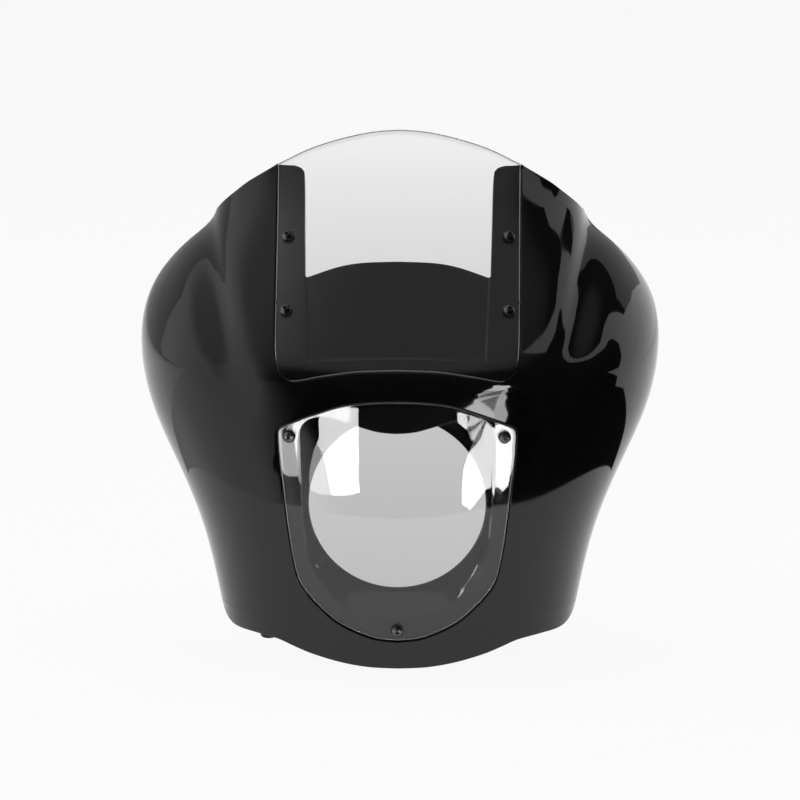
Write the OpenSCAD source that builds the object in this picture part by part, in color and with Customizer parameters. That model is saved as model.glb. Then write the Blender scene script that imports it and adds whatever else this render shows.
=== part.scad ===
// Headlight cowl: a moulded quarter fairing with a clear screen, a clear lens over a
// round headlamp opening, and steel brackets inside that carry it on the fork clamps.
// Front faces -Y, up is +Z, and the origin is the centre of the headlamp opening.

/* [Shell] */
// Wall of the moulded shell
wall = 3.5; // [2.5:0.1:4.5]
// Half width at the foot
foot_half = 152; // [140:1:162]
// Half width beside the headlamp opening
waist_half = 199; // [188:1:210]
// Half width at the widest part of the wings
wing_half = 232; // [220:1:244]
// Half width at the shoulder notch
notch_half = 188; // [178:1:198]
// Half width behind the top of the screen
top_half = 152; // [145:1:160]
// How far the rear edge lies behind the opening at the foot
foot_rear = 98; // [85:1:110]
// How far the rear edge lies behind the opening at the shoulder
shoulder_rear = 180; // [165:1:195]
// How far the face leans forward, in mm for each mm of height
face_lean = 0.177; // [0.12:0.005:0.21]
// Swell of the face between the chin and the brow
face_crown = 3; // [1:0.5:6]
// Roundness of the brow, where the face turns into the screen
brow_round = 5; // [3:0.5:9]
// How square each level section is, 0 for an ellipse
squareness = 0.25; // [0.1:0.01:0.35]
// Depth of the valley between each cheek and its wing
valley_depth = 13; // [6:0.5:18]
// Width of that valley
valley_width = 17; // [13:0.5:24]
// How far the chin reaches below the opening's centre
chin_drop = 152.5; // [149:0.5:158]
// How far the bottom edge is below that centre at the sides
side_drop = 127; // [122:0.5:132]

/* [Headlamp opening] */
// Diameter of the round headlamp opening
opening_d = 152; // [140:1:154]

/* [Lens] */
// Thickness of the clear lens
lens_t = 3; // [2:0.1:4]
// Depth of the ledge that the lens sits on
lens_ledge = 4; // [3.5:0.1:5.5]
// Gap between the lens and the recess wall, and under the lens
lens_gap = 0.9; // [0.5:0.1:1.5]
// How far the middle of the lens stands in front of its flange
lens_bulge = 6.5; // [5:0.5:9]

/* [Screen] */
// Thickness of the clear screen
screen_t = 3; // [2:0.1:4]
// Gap between the screen's edge and the shell
screen_gap = 0.8; // [0.4:0.1:1.5]
// Depth of the shallow field below the screen opening
field_depth = 1.2; // [0.6:0.1:2]

/* [Fasteners] */
// Thread diameter of the screen and lens screws
screw_d = 5; // [4:0.5:6]
// Diameter of the screw heads
head_d = 9.5; // [8.5:0.1:11]
// Height of the screw heads
head_h = 2.8; // [2:0.1:3.5]
// Outer diameter of the washers under the heads
washer_d = 11; // [10:0.1:13]
// Thickness of those washers
washer_t = 1; // [0.6:0.1:1.5]
// Width of the nuts across their flats
nut_af = 8; // [7:0.5:10]
// Height of the nuts
nut_h = 4; // [3:0.5:5]

/* [Brackets] */
// Thickness of the steel bracket plate
plate_t = 2.5; // [2:0.1:4]
// Distance from the centre to the inner face of each bracket's side leg
bracket_in = 116; // [108:1:122]
// Where the bracket's front plate lies behind the opening
boss_face = 24; // [20:1:30]
// Outer diameter of the moulded bosses
boss_d = 18; // [15:0.5:22]
// Height of the lower boss
boss_low = -8; // [-20:1:4]
// Height of the upper boss
boss_high = 62; // [50:1:70]
// Bore of the sleeves that take the fork clamps' bolts
sleeve_bore = 8.4; // [6.4:0.1:10.4]
// Outer diameter of the sleeves
sleeve_d = 12; // [12:0.1:14]
// Outer diameter of the rubber grommets
grommet_d = 24; // [22:0.5:28]
// How far the sleeves lie behind the opening
clamp_y = 104; // [96:1:112]

/* [Bumper] */
// Diameter of the rubber bumper under the rim
bumper_d = 15; // [13:0.5:17]
// Height of that bumper
bumper_h = 9; // [7:0.5:11]

/* [Hidden] */
$fn = 48;
clear = 0.2;

// Lines of the centre section: the face from the lens foot, and the screen's rake
face_foot_z = -125;
face_mid_z = -12;
face_reach = 113;
screen_foot = [-33, 126];
screen_rake = 1;

// Stations up the height: half width, and where the rear edge is
width_stations = [
    [-150, foot_half], [-100, foot_half + 10], [-45, waist_half - 23], [10, waist_half],
    [60, wing_half - 10], [105, wing_half], [140, wing_half - 3], [170, notch_half + 26],
    [200, notch_half], [235, top_half + 10], [270, top_half], [310, top_half - 7]
];
rear_stations = [
    [-150, foot_rear - 2], [-100, foot_rear + 6], [-30, foot_rear + 20],
    [50, shoulder_rear - 37], [120, shoulder_rear - 10], [175, shoulder_rear],
    [230, shoulder_rear - 7], [300, shoulder_rear - 12]
];

// The valley starts low beside the lens and opens at the shoulder notch
valley_low = [128, 60];
valley_high = [172, 195];

// Second derivatives of the natural cubic spline through [place, value] stations
function sweep(s, i = 1, c = [0], d = [0]) =
    i == len(s) - 1 ? [c, d] :
    let (h0 = s[i][0] - s[i - 1][0], h1 = s[i + 1][0] - s[i][0],
         bend = 6 * ((s[i + 1][1] - s[i][1]) / h1 - (s[i][1] - s[i - 1][1]) / h0),
         m = 2 * (h0 + h1) - h0 * c[i - 1])
    sweep(s, i + 1, concat(c, h1 / m), concat(d, (bend - h0 * d[i - 1]) / m));
function back_up(cd, i, out) =
    i < 0 ? out : back_up(cd, i - 1, concat([cd[1][i] - cd[0][i] * out[0]], out));
function bends(s) = let (cd = sweep(s)) back_up(cd, len(s) - 2, [0]);
function span_of(s, t, i = 0) = i >= len(s) - 2 || t < s[i + 1][0] ? i : span_of(s, t, i + 1);
function spline(s, m, t) =
    let (i = span_of(s, t), h = s[i + 1][0] - s[i][0], u = s[i + 1][0] - t, v = t - s[i][0])
    (m[i] * u ^ 3 + m[i + 1] * v ^ 3) / (6 * h)
    + (s[i][1] / h - m[i] * h / 6) * u + (s[i + 1][1] / h - m[i + 1] * h / 6) * v;
width_bends = bends(width_stations);
rear_bends = bends(rear_stations);
function half_at(z) = spline(width_stations, width_bends, z);
function rear_at(z) = spline(rear_stations, rear_bends, z);

// Centre section: two lines joined by a hyperbola, the face with a slight swell
function spine(z) =
    let (face = -face_lean * (z - face_foot_z)
                - face_crown * (1 - ((z - face_mid_z) / face_reach) ^ 2),
         rake = screen_foot[0] + (z - screen_foot[1]) * screen_rake)
    (face + rake) / 2 + sqrt(((face - rake) / 2) ^ 2 + brow_round ^ 2);

// Smooth rise from 0 to 1
function ease(t) = let (u = max(0, min(1, t))) u * u * (3 - 2 * u);
function valley(x, z) =
    let (along = (z - valley_low[1]) / (valley_high[1] - valley_low[1]),
         middle = valley_low[0] + along * (valley_high[0] - valley_low[0]))
    valley_depth * ease(along) * exp(-((abs(x) - middle) / valley_width) ^ 2);

// Point of the outer surface at angle a (0 at the centre, 90 at the rear edge), height z
function skin(a, z) =
    let (w = half_at(z), c = spine(z), r = rear_at(z), x = w * sin(a),
         y = r - (r - c) * cos(a) * (1 + squareness * sin(a) ^ 2), d = valley(x, z))
    [x - sign(a) * d * 0.5, y + d * 0.8, z];
function unit(v) = v / norm(v);
function inward(a, z) =
    let (e = 0.2, b = max(-90 + e, min(90 - e, a)))
    unit(cross(skin(b, z + e) - skin(b, z - e), skin(b + e, z) - skin(b - e, z)));
function under(a, z, depth) = skin(a, z) + depth * inward(a, z);
// The same from a place in the front view: p = [x, z]
function angle_of(p) = asin(max(-1, min(1, p[0] / half_at(p[1]))));
function on(p, depth) = under(angle_of(p), p[1], depth);

// A smooth line through points, with per steps between each two
function through(p, per) = [
    for (i = [0:len(p) - 2], j = [0:per - 1])
        let (a = p[max(0, i - 1)], b = p[i], c = p[i + 1], d = p[min(len(p) - 1, i + 2)], t = j / per)
        b + t * (c - a) / 2 + t ^ 2 * (a - 2.5 * b + 2 * c - d / 2)
        + t ^ 3 * (1.5 * (b - c) + (d - a) / 2),
    p[len(p) - 1]
];
// The same line cut into n equal lengths
function lengths(p, i = 0, sum = 0, out = []) =
    i == len(p) ? out :
    let (s = i == 0 ? 0 : sum + norm(p[i] - p[i - 1])) lengths(p, i + 1, s, concat(out, s));
function even(p, n) =
    let (s = lengths(p), total = s[len(s) - 1],
         xs = [for (i = [0:len(p) - 1]) [s[i], p[i][0]]],
         zs = [for (i = [0:len(p) - 1]) [s[i], p[i][1]]])
    [for (i = [0:n]) let (t = total * i / n) [lookup(t, xs), lookup(t, zs)]];
function smooth(p, n) = even(through(p, 8), n);
// Two lines end to end, without the shared point twice
function join(a, b) = concat(a, [for (i = [1:len(b) - 1]) b[i]]);
// A line moved sideways by g, to its right as it runs; g may be a list with one value a point
function beside(p, g) = [
    for (i = [0:len(p) - 1])
        let (t = unit(p[min(len(p) - 1, i + 1)] - p[max(0, i - 1)]), step = is_list(g) ? g[i] : g)
        p[i] + step * [t[1], -t[0]]
];
function mirrored(p) = [-p[0], p[1]];
// A right half from bottom centre to top centre, made into a whole loop
function loop_of(half) =
    concat(half, [for (i = [len(half) - 2:-1:1]) mirrored(half[i])]);

// Right halves of the front outlines, in steps that pair up from loop to loop
n_foot = 9;
n_rear = 20;
n_crest = 5;
n_tab = 5;
n_cheek = 5;
n_sill = 7;
n_half = n_foot + n_rear + n_crest + n_tab + n_cheek + n_sill;
n_loop = 2 * n_half;
first_tab = n_foot + n_rear + n_crest;

// Bottom edge, rear edge, crest up to the screen's top corner
corner_z = side_drop - 14;
rear_top_z = 226;
crest_top = [107.5, 274.5];
foot_edge = smooth([
    [0, -chin_drop], [26, -chin_drop + 1.2], [51, -chin_drop + 5.5], [76, -side_drop - 13],
    [92, -side_drop - 7], [106, -side_drop - 2], [126, -side_drop], [foot_half - 7, -side_drop],
    [foot_half + 1, -side_drop + 4], [half_at(-corner_z), -corner_z]
], n_foot);
rear_edge = [
    for (i = [0:n_rear]) let (z = -corner_z + (rear_top_z + corner_z) * i / n_rear) [half_at(z), z]
];
crest = smooth([
    [half_at(rear_top_z), rear_top_z], [156, 238.5], [145, 249], [131.5, 260], crest_top
], n_crest);

// Screen outline: side down from the crest, lower corner, bottom edge to the centre
screen_side = smooth([crest_top, [106.6, 215], [105.8, 172]], n_tab);
screen_cheek = smooth([[105.8, 172], [105.4, 147], [104.4, 131], [101.5, 120]], n_cheek);
screen_sill = smooth([
    [101.5, 120], [95, 114.5], [86, 113.5], [64, 118], [34, 122.2], [0, 123.5]
], n_sill);
screen_half = join(join(screen_side, screen_cheek), screen_sill);
outer_half = join(join(join(foot_edge, rear_edge), crest), screen_half);

// Lens outline, and the ledge's inner edge with its dip over the lamp
lens_half = even(through([
    [0, -126], [22, -123], [49.5, -110.5], [69.5, -93], [85, -73], [91.5, -48], [96, -14],
    [99, 18], [101.5, 40], [102.6, 62], [101, 71.5], [89, 77.5], [66, 87], [45, 94], [20, 97.3], [0, 98]
], 8), n_half);
ledge_half = even(through([
    [0, -107.5], [11, -106.5], [35, -98], [56, -82.5], [72, -62], [80, -38], [82.5, 0], [83.5, 40],
    [82.5, 68], [78, 79.5], [70, 82.5], [58, 81.5], [34, 74.5], [16, 69.5], [0, 68]
], 8), n_half);
// Crease of the lens: beside the ledge's edge, and along the top edge instead of down the dip
crease_half = even(through([
    [0, -106.6], [11, -105.6], [35, -97.2], [55.5, -82], [71.2, -61.8], [79.1, -38], [81.6, 0],
    [82.6, 40], [81.8, 68], [77.5, 78.5], [66, 84.2], [45, 90.4], [20, 93.8], [0, 94.6]
], 8), n_half);
// Where the throat behind the ledge lands on the lamp panel
lamp_margin = 4.5;
lamp_r = opening_d / 2;
throat_half = [
    for (p = ledge_half)
        let (q = [p[0] * 0.97, p[1] > 0 ? max(p[1] - 1, 0) : p[1] * 0.93],
             r = norm(q), least = lamp_r + lamp_margin)
        r < least ? q * least / max(r, 1) : q
];
// Inner edge of the screen seat: round the tab's top, down the opening, along the field
tab_in = 83;
opening_low = [80.5, 192];
field_corner = [77, 130];
seat_tab = smooth([[93, 274.5], [86, 272.5], [tab_in + 0.4, 266], [82, 228], opening_low], n_tab);
seat_cheek = smooth([opening_low, field_corner], n_cheek);
seat_sill = smooth([field_corner, [40, 132.2], [0, 133.5]], n_sill);
seat_half = join(join(seat_tab, seat_cheek), seat_sill);
opening_sill = smooth([opening_low, [54, 200], [31, 203.6], [0, 204.7]], n_sill);

rim_band = 2;
outer_loop = loop_of(outer_half);
outer_near = loop_of(beside(outer_half, [for (k = [0:n_half]) k < first_tab ? -rim_band : -2 * wall]));
outer_step = loop_of(beside(outer_half, -wall));
lens_loop = loop_of(lens_half);
lens_step = loop_of(beside(lens_half, wall));
lens_near = loop_of(beside(lens_half, 2 * wall));
ledge_loop = loop_of(ledge_half);
ledge_step = loop_of(beside(ledge_half, wall));
throat_loop = loop_of(throat_half);
throat_step = loop_of(beside(throat_half, wall));
screen_seat = screen_t + 2 * clear;
lens_under = lens_ledge + wall;
n_field = 9;
field_step = 2;
screen_top = 302.2;
// Screw places in the front view, and the middle of the lens
screen_screw_places = [[96.3, 220], [95.8, 166]];
lens_screw_top = [92.3, 64.5];
lens_screw_low = [0, -115.5];
lens_middle = [0, -15];

// Bracket, grommet and bumper places
boss_x = bracket_in + 15;
clamp_x = bracket_in - grommet_d / 2 - 4;
slot_w = 26;
bolt_d = 6;
bolt_af = 10;
bolt_head_h = 4;
bolt_washer_d = 14;
insert_d = 8.5;
insert_h = 12;
clamp_low = 0;
clamp_high = 56;
groove_d = 18;
grommet_h = 9;
sleeve_h = 13;
bumper_x = 114;
bumper_y = 44;
stem_d = 7;
shelf_z = -side_drop + 3;

// Is this step of the loop on the screen's outline?
function on_screen(k) = k >= first_tab && k <= n_loop - first_tab;
// Steps from the lens recess out to the rim, evenly in angle and height
function between(p, q, t) =
    let (a = angle_of(p), b = angle_of(q)) [a + t * (b - a), p[1] + t * (q[1] - p[1])];
function on_panel(p, y) = [p[0], y, p[1]];
function front_ribs(k) = concat(
    [on_panel(0.93 * lamp_r * unit(throat_loop[k]), 0), on_panel(throat_loop[k], 0),
     on(ledge_loop[k], lens_ledge), on(lens_loop[k], lens_ledge), on(lens_loop[k], 0)],
    [for (j = [0:n_field])
        let (m = between(lens_near[k], outer_near[k], j / n_field)) under(m[0], m[1], 0)],
    [on(outer_loop[k], 0)]);
function back_ribs(k) = concat(
    [on_panel(0.93 * lamp_r * unit(throat_loop[k]), wall), on_panel(throat_step[k], wall),
     on(ledge_step[k], lens_under), on(lens_step[k], lens_under), on(lens_step[k], wall)],
    [for (j = [0:n_field])
        let (m = between(lens_near[k], outer_near[k], j / n_field)) under(m[0], m[1], wall)],
    [on_screen(k) ? on(outer_step[k], wall) : on(outer_loop[k], wall)]);

// Faces of a grid of points, rows by columns, and of the strip between two lines
// (the left half is cut along the other diagonal, so that it mirrors the right)
function quad(a, b, c, d, left) = left ? [[a, d, b], [b, d, c]] : [[a, c, b], [a, d, c]];
function grid_faces(rows, cols, closed) =
    let (last = rows - (closed ? 1 : 2)) [
    for (i = [0:last], j = [0:cols - 2])
        let (r = (i + 1) % rows)
        each quad(i * cols + j, i * cols + j + 1, r * cols + j + 1, r * cols + j, i > last / 2)
];
function strip(f, g) = [
    for (i = [0:len(f) - 2]) each quad(f[i], g[i], g[i + 1], f[i + 1], i > (len(f) - 2) / 2)
];
// The edge that joins a front line to a back line of point numbers
function rim(f, b) = strip(b, f);
function turned(faces) = [for (f = faces) [f[0], f[2], f[1]]];

// The moulded body as one closed skin: lamp panel, throat, ledge, face, rim and screen seat
module shell_body() {
    ribs = n_field + 7;
    tabs = [for (k = [first_tab:n_loop - first_tab]) k];
    n_seat = len(tabs);
    wide = 2 * n_sill;
    seat_loop = concat(seat_half, [for (i = [len(seat_half) - 2:-1:0]) mirrored(seat_half[i])]);
    sill = concat(opening_sill, [for (i = [n_sill - 1:-1:0]) mirrored(opening_sill[i])]);
    function field_place(i, j) =
        let (f = j / n_cheek, b = seat_loop[n_tab + n_cheek + i], p = b + f * (sill[i] - b))
        [p[0] * (1 - field_step / field_corner[0]), p[1] + field_step * (1 - f)];
    function seat_line(edge, depth) =
        [for (i = [0:n_seat - 1]) each [on(edge[tabs[i]], depth), on(seat_loop[i], depth)]];
    function field_grid(depth) = [for (i = [0:wide], j = [0:n_cheek]) on(field_place(i, j), depth)];
    n_main = n_loop * ribs;
    at_seat = 2 * n_main;
    at_field = at_seat + 4 * n_seat;
    n_grid = (wide + 1) * (n_cheek + 1);
    function main(k, j) = (k % n_loop) * ribs + j;
    function seat(i, j) = at_seat + 2 * i + j;
    function field(i, j) = at_field + i * (n_cheek + 1) + j;
    function behind(line) =
        [for (i = line) i < n_main ? i + n_main : i < at_field ? i + 2 * n_seat : i + n_grid];
    // lines along the edges, each run the way the front's faces run
    free_rim = [for (k = [n_loop - first_tab:n_loop + first_tab]) main(k, ribs - 1)];
    lamp_rim = [for (k = [n_loop:-1:0]) main(k, 0)];
    screen_edge = [for (k = tabs) main(k, ribs - 1)];
    seat_outer = [for (i = [0:n_seat - 1]) seat(i, 0)];
    seat_inner = [for (i = [0:n_seat - 1]) seat(i, 1)];
    right_end = [main(first_tab, ribs - 1), seat(0, 0), seat(0, 1)];
    left_end = [seat(n_seat - 1, 1), seat(n_seat - 1, 0), main(n_loop - first_tab, ribs - 1)];
    right_side = [for (i = [0:n_tab]) seat(i, 1)];
    left_side = [for (i = [n_seat - 1 - n_tab:n_seat - 1]) seat(i, 1)];
    seat_step = [for (i = [n_tab:n_seat - 1 - n_tab]) seat(i, 1)];
    field_edge = concat(
        [for (j = [n_cheek:-1:1]) field(0, j)], [for (i = [0:wide]) field(i, 0)],
        [for (j = [1:n_cheek]) field(wide, j)]);
    sill_edge = concat(
        [seat(n_tab, 1)], [for (i = [0:wide]) field(i, n_cheek)], [seat(n_seat - 1 - n_tab, 1)]);
    sheet = concat(
        grid_faces(n_loop, ribs, true),
        strip(screen_edge, seat_outer),
        strip(seat_outer, seat_inner),
        strip(seat_step, field_edge),
        [for (i = [0:wide - 1], j = [0:n_cheek - 1])
            each quad(field(i, j), field(i, j + 1), field(i + 1, j + 1), field(i + 1, j), i >= n_sill)]);
    rims = [for (line = [free_rim, lamp_rim, right_end, left_end, right_side, left_side, sill_edge])
        each rim(behind(line), line)];
    polyhedron(
        points = concat(
            [for (k = [0:n_loop - 1]) each front_ribs(k)],
            [for (k = [0:n_loop - 1]) each back_ribs(k)],
            seat_line(outer_loop, screen_seat), seat_line(outer_step, screen_seat + wall),
            field_grid(screen_seat + field_depth), field_grid(screen_seat + field_depth + wall)),
        faces = concat(sheet, turned([for (f = sheet) behind(f)]), rims), convexity = 10);
}

// Stands a piece on the surface at a place in the front view, its z axis pointing outwards
module stand(place, depth) {
    a = angle_of(place);
    out = -inward(a, place[1]);
    side = unit(cross([0, 0, 1], out));
    up = cross(out, side);
    o = on(place, depth);
    multmatrix([
        [side[0], up[0], out[0], o[0]], [side[1], up[1], out[1], o[1]], [side[2], up[2], out[2], o[2]]
    ]) children();
}
module both_sides() {
    children();
    mirror([1, 0, 0]) children();
}
module screen_places(depth) {
    both_sides() for (p = screen_screw_places) stand(p, depth) children();
}
module lens_places(depth) {
    both_sides() stand(lens_screw_top, depth) children();
    stand(lens_screw_low, depth) children();
}

// What lies behind the wall over a small part of the front view, back to the plane y = back
module behind_wall(place, reach, back) {
    n = 4;
    function at(i, j) = [place[0] + reach * (2 * j / n - 1), place[1] + reach * (2 * i / n - 1)];
    front = [for (i = [0:n], j = [0:n]) on(at(i, j), wall / 2)];
    rear = [for (i = [0:n], j = [0:n]) [at(i, j)[0], back, at(i, j)[1]]];
    face = grid_faces(n + 1, n + 1, false);
    m = (n + 1) * (n + 1);
    edge = concat([for (j = [0:n]) j], [for (i = [1:n]) i * (n + 1) + n],
        [for (j = [n - 1:-1:0]) n * (n + 1) + j], [for (i = [n - 1:-1:0]) i * (n + 1)]);
    polyhedron(points = concat(front, rear),
        faces = concat(face, turned([for (f = face) [for (i = f) i + m]]),
            rim([for (i = edge) i + m], edge)));
}

module bosses() {
    for (z = [boss_low, boss_high]) intersection() {
        behind_wall([boss_x, z], boss_d / 2 + 3, boss_face + 5);
        translate([boss_x, -60, z]) rotate([-90, 0, 0]) cylinder(d = boss_d, h = 60 + boss_face);
    }
}
module boss_bores() {
    for (z = [boss_low, boss_high]) translate([boss_x, boss_face, z]) rotate([90, 0, 0]) {
        translate([0, 0, -1]) cylinder(d = insert_d + clear / 2, h = insert_h + 1);
        translate([0, 0, -1]) cylinder(d = bolt_d + 0.6, h = insert_h + 3);
    }
}
// A small shelf inside the rim that the rubber bumper plugs into
module bumper_shelf() {
    intersection() {
        behind_wall([-bumper_x, shelf_z], bumper_d, bumper_y + 20);
        translate([-bumper_x - bumper_d / 2 - 2, 0, shelf_z - wall / 2])
            cube([bumper_d + 4, bumper_y + bumper_d / 2 + 2, wall]);
    }
}

module shell() {
    color("#111214") difference() {
        union() {
            shell_body();
            both_sides() bosses();
            bumper_shelf();
        }
        translate([0, -1, 0]) rotate([-90, 0, 0]) cylinder(r = lamp_r, h = wall + 2, $fn = 120);
        screen_places(20) cylinder(d = screw_d + 2 * clear, h = 40, $fn = 24);
        lens_places(14) cylinder(d = screw_d + 2 * clear, h = 28, $fn = 24);
        both_sides() boss_bores();
        translate([-bumper_x, bumper_y, shelf_z - wall]) cylinder(d = stem_d + clear, h = 2 * wall);
    }
}

// A clear sheet over the whole window, ruled from its lower edge up to its top edge
module screen_sheet() {
    low_half = beside(join(screen_cheek, screen_sill), screen_gap);
    top_half_line = smooth([beside([crest_top, screen_side[1]], screen_gap)[0], [82, screen_top - 16.2],
        [59, screen_top - 8.8], [36, screen_top - 3.6], [18, screen_top - 1], [0, screen_top]],
        n_cheek + n_sill);
    low = concat(low_half, [for (i = [len(low_half) - 2:-1:0]) mirrored(low_half[i])]);
    top = concat(top_half_line, [for (i = [len(low_half) - 2:-1:0]) mirrored(top_half_line[i])]);
    rows = len(low);
    cols = 11;
    // closer steps low down, where the sheet turns over the brow
    function sheet_at(i, j, depth) =
        let (m = between(low[i], top[i], (j / (cols - 1)) ^ 1.7)) under(m[0], m[1], depth);
    face = grid_faces(rows, cols, false);
    m = rows * cols;
    edge = concat([for (j = [0:cols - 1]) j], [for (i = [1:rows - 1]) i * cols + cols - 1],
        [for (j = [cols - 2:-1:0]) (rows - 1) * cols + j], [for (i = [rows - 2:-1:0]) i * cols]);
    polyhedron(
        points = concat([for (i = [0:rows - 1], j = [0:cols - 1]) sheet_at(i, j, 0)],
            [for (i = [0:rows - 1], j = [0:cols - 1]) sheet_at(i, j, screen_t)]),
        faces = concat(face, turned([for (f = face) [for (i = f) i + m]]),
            rim([for (i = edge) i + m], edge)));
}
module screen() {
    color([0.8, 0.85, 0.88, 0.35]) difference() {
        screen_sheet();
        screen_places(10) cylinder(d = screw_d + 2 * clear, h = 20, $fn = 24);
    }
}

// A flat flange on the ledge, a crease, and a crowned middle
module lens_sheet() {
    rim_loop = loop_of(beside(lens_half, -lens_gap));
    crease = loop_of(crease_half);
    rings = [1, 0.86, 0.7, 0.53, 0.36, 0.18];
    sit = lens_ledge - clear - lens_t;
    function dome_at(k, f, depth) =
        on(lens_middle + f * (crease[k] - lens_middle), depth - lens_bulge * (1 - f ^ 2));
    function lens_points(depth) = [for (k = [0:n_loop - 1]) each concat(
        [for (i = [len(rings) - 1:-1:0]) dome_at(k, rings[i], depth)], [on(rim_loop[k], depth)])];
    cols = len(rings) + 1;
    m = n_loop * cols;
    middle = 2 * m;
    face = concat(grid_faces(n_loop, cols, true),
        [for (k = [0:n_loop - 1]) [middle, ((k + 1) % n_loop) * cols, k * cols]]);
    edge = [for (k = [0:n_loop]) (k % n_loop) * cols + cols - 1];
    polyhedron(
        points = concat(lens_points(sit), lens_points(sit + lens_t),
            [on(lens_middle, sit - lens_bulge), on(lens_middle, sit + lens_t - lens_bulge)]),
        faces = concat(face,
            turned([for (f = face) [for (i = f) i == middle ? middle + 1 : i + m]]),
            rim([for (i = edge) i + m], edge)));
}
module lens() {
    color([0.85, 0.88, 0.9, 0.3]) difference() {
        lens_sheet();
        lens_places(10) cylinder(d = screw_d + 2 * clear, h = 20, $fn = 24);
    }
}

// Fasteners, each drawn standing on its seat with its head above z = 0
module button_head(d, h) {
    r = d / 2;
    rotate_extrude() intersection() {
        square([r, h]);
        translate([0, h - (r * r + h * h) / (2 * h)]) circle(r = (r * r + h * h) / (2 * h), $fn = 96);
    }
}
module socket_screw(length) {
    difference() {
        union() {
            button_head(head_d, head_h);
            translate([0, 0, -length]) cylinder(d = screw_d, h = length + 0.1, $fn = 24);
        }
        translate([0, 0, head_h * 0.35]) cylinder(d = head_d * 0.36, h = head_h, $fn = 6);
    }
}
module cross_screw(length) {
    slot = head_d * 0.12;
    difference() {
        union() {
            button_head(head_d, head_h);
            translate([0, 0, -length]) cylinder(d = screw_d, h = length + 0.1, $fn = 24);
        }
        for (turn = [0, 90]) rotate(turn)
            translate([-head_d * 0.24, -slot / 2, head_h * 0.35]) cube([head_d * 0.48, slot, head_h]);
    }
}
module washer(d, bore, t) {
    difference() {
        cylinder(d = d, h = t);
        translate([0, 0, -1]) cylinder(d = bore, h = t + 2, $fn = 24);
    }
}
module hex_nut(af, h, bore) {
    difference() {
        union() {
            cylinder(d = af / cos(30), h = h, $fn = 6);
            cylinder(d = af * 0.92, h = h + 1.2);
        }
        translate([0, 0, -1]) cylinder(d = bore, h = h + 4, $fn = 24);
    }
}

// The seat is flat across under the screws, so its back lies this much deeper
seat_sag = 0.7;
screen_stack = screen_seat + wall + seat_sag;
lens_stack = lens_ledge + wall + clear / 2;
lens_sit = lens_ledge - clear - lens_t;
module screen_screws() {
    color("#18191b") screen_places(-washer_t - clear)
        socket_screw(screen_stack + washer_t + clear + nut_h + 3);
}
module screen_washers() {
    color("#1d1e20") screen_places(-clear / 2) washer(washer_d, screw_d + 2 * clear, washer_t);
}
module screen_nuts() {
    color("#8d9094") screen_places(screen_stack + clear) mirror([0, 0, 1])
        hex_nut(nut_af, nut_h, screw_d + clear / 2);
}
module lens_screws() {
    color("#202124") lens_places(lens_sit - washer_t - clear)
        cross_screw(lens_stack - lens_sit + washer_t + clear + nut_h + 3);
}
module lens_washers() {
    color("#151515") lens_places(lens_sit - clear / 2) washer(washer_d, screw_d + 2 * clear, washer_t);
}
module lens_nuts() {
    color("#8d9094") lens_places(lens_stack + clear) mirror([0, 0, 1])
        hex_nut(nut_af, nut_h, screw_d + clear / 2);
}

// A bend of the plate in plan, turned so that it joins two legs
module plate_bend(inner) {
    intersection() {
        square([inner, inner]);
        translate([inner, inner]) difference() {
            circle(r = inner);
            circle(r = inner - plate_t);
        }
    }
}
// Steel bracket: a plate on the bosses, a side leg, and a plate behind with two grommet holes
module bracket() {
    front_y = boss_face + clear / 2;
    out_x = boss_x + boss_d / 2 + 3;
    low = min(boss_low, clamp_low) - boss_d / 2 - 3;
    high = max(boss_high, clamp_high) + boss_d / 2 + 3;
    rear_y = clamp_y + plate_t / 2;
    bend = 2 * plate_t;
    ear = grommet_d / 2 + 4;
    difference() {
        intersection() {
            translate([0, 0, low]) linear_extrude(high - low) union() {
                translate([bracket_in + bend, front_y]) square([out_x - bracket_in - bend, plate_t]);
                translate([bracket_in, front_y]) plate_bend(bend);
                translate([bracket_in, front_y + bend]) square([plate_t, rear_y - front_y - 2 * bend]);
                translate([bracket_in + plate_t, rear_y]) rotate(180) plate_bend(bend);
                translate([clamp_x - ear, rear_y - plate_t])
                    square([bracket_in + plate_t - bend - clamp_x + ear, plate_t]);
            }
            // seen from behind the plate has two round ears
            translate([0, rear_y + 1, 0]) rotate([90, 0, 0]) linear_extrude(rear_y) union() {
                translate([clamp_x, low]) square([out_x - clamp_x, high - low]);
                for (z = [clamp_low, clamp_high]) translate([clamp_x, z]) circle(r = ear);
                translate([clamp_x - ear / 2, clamp_low]) square([ear, clamp_high - clamp_low]);
            }
        }
        for (z = [boss_low, boss_high]) translate([boss_x, front_y - 1, z])
            rotate([-90, 0, 0]) cylinder(d = bolt_d + 0.6, h = plate_t + 2);
        for (z = [clamp_low, clamp_high]) translate([clamp_x, rear_y + 1, z])
            rotate([90, 0, 0]) cylinder(d = groove_d + clear, h = plate_t + 2);
        translate([bracket_in - 1, (front_y + rear_y) / 2, (low + high) / 2]) rotate([0, 90, 0]) {
            cylinder(d = slot_w, h = plate_t + 2);
            for (side = [-1, 1]) translate([side * slot_w / 2, 0, 0]) cylinder(d = slot_w, h = plate_t + 2);
            translate([-slot_w / 2, -slot_w / 2, 0]) cube([slot_w, slot_w, plate_t + 2]);
        }
    }
}
module right_bracket() {
    color("#2a2c2f") bracket();
}
module left_bracket() {
    color("#2a2c2f") mirror([1, 0, 0]) bracket();
}
module bracket_inserts() {
    color("#b08d4a") both_sides() for (z = [boss_low, boss_high])
        translate([boss_x, boss_face, z]) rotate([90, 0, 0]) washer(insert_d, bolt_d + 0.1, insert_h);
}
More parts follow.
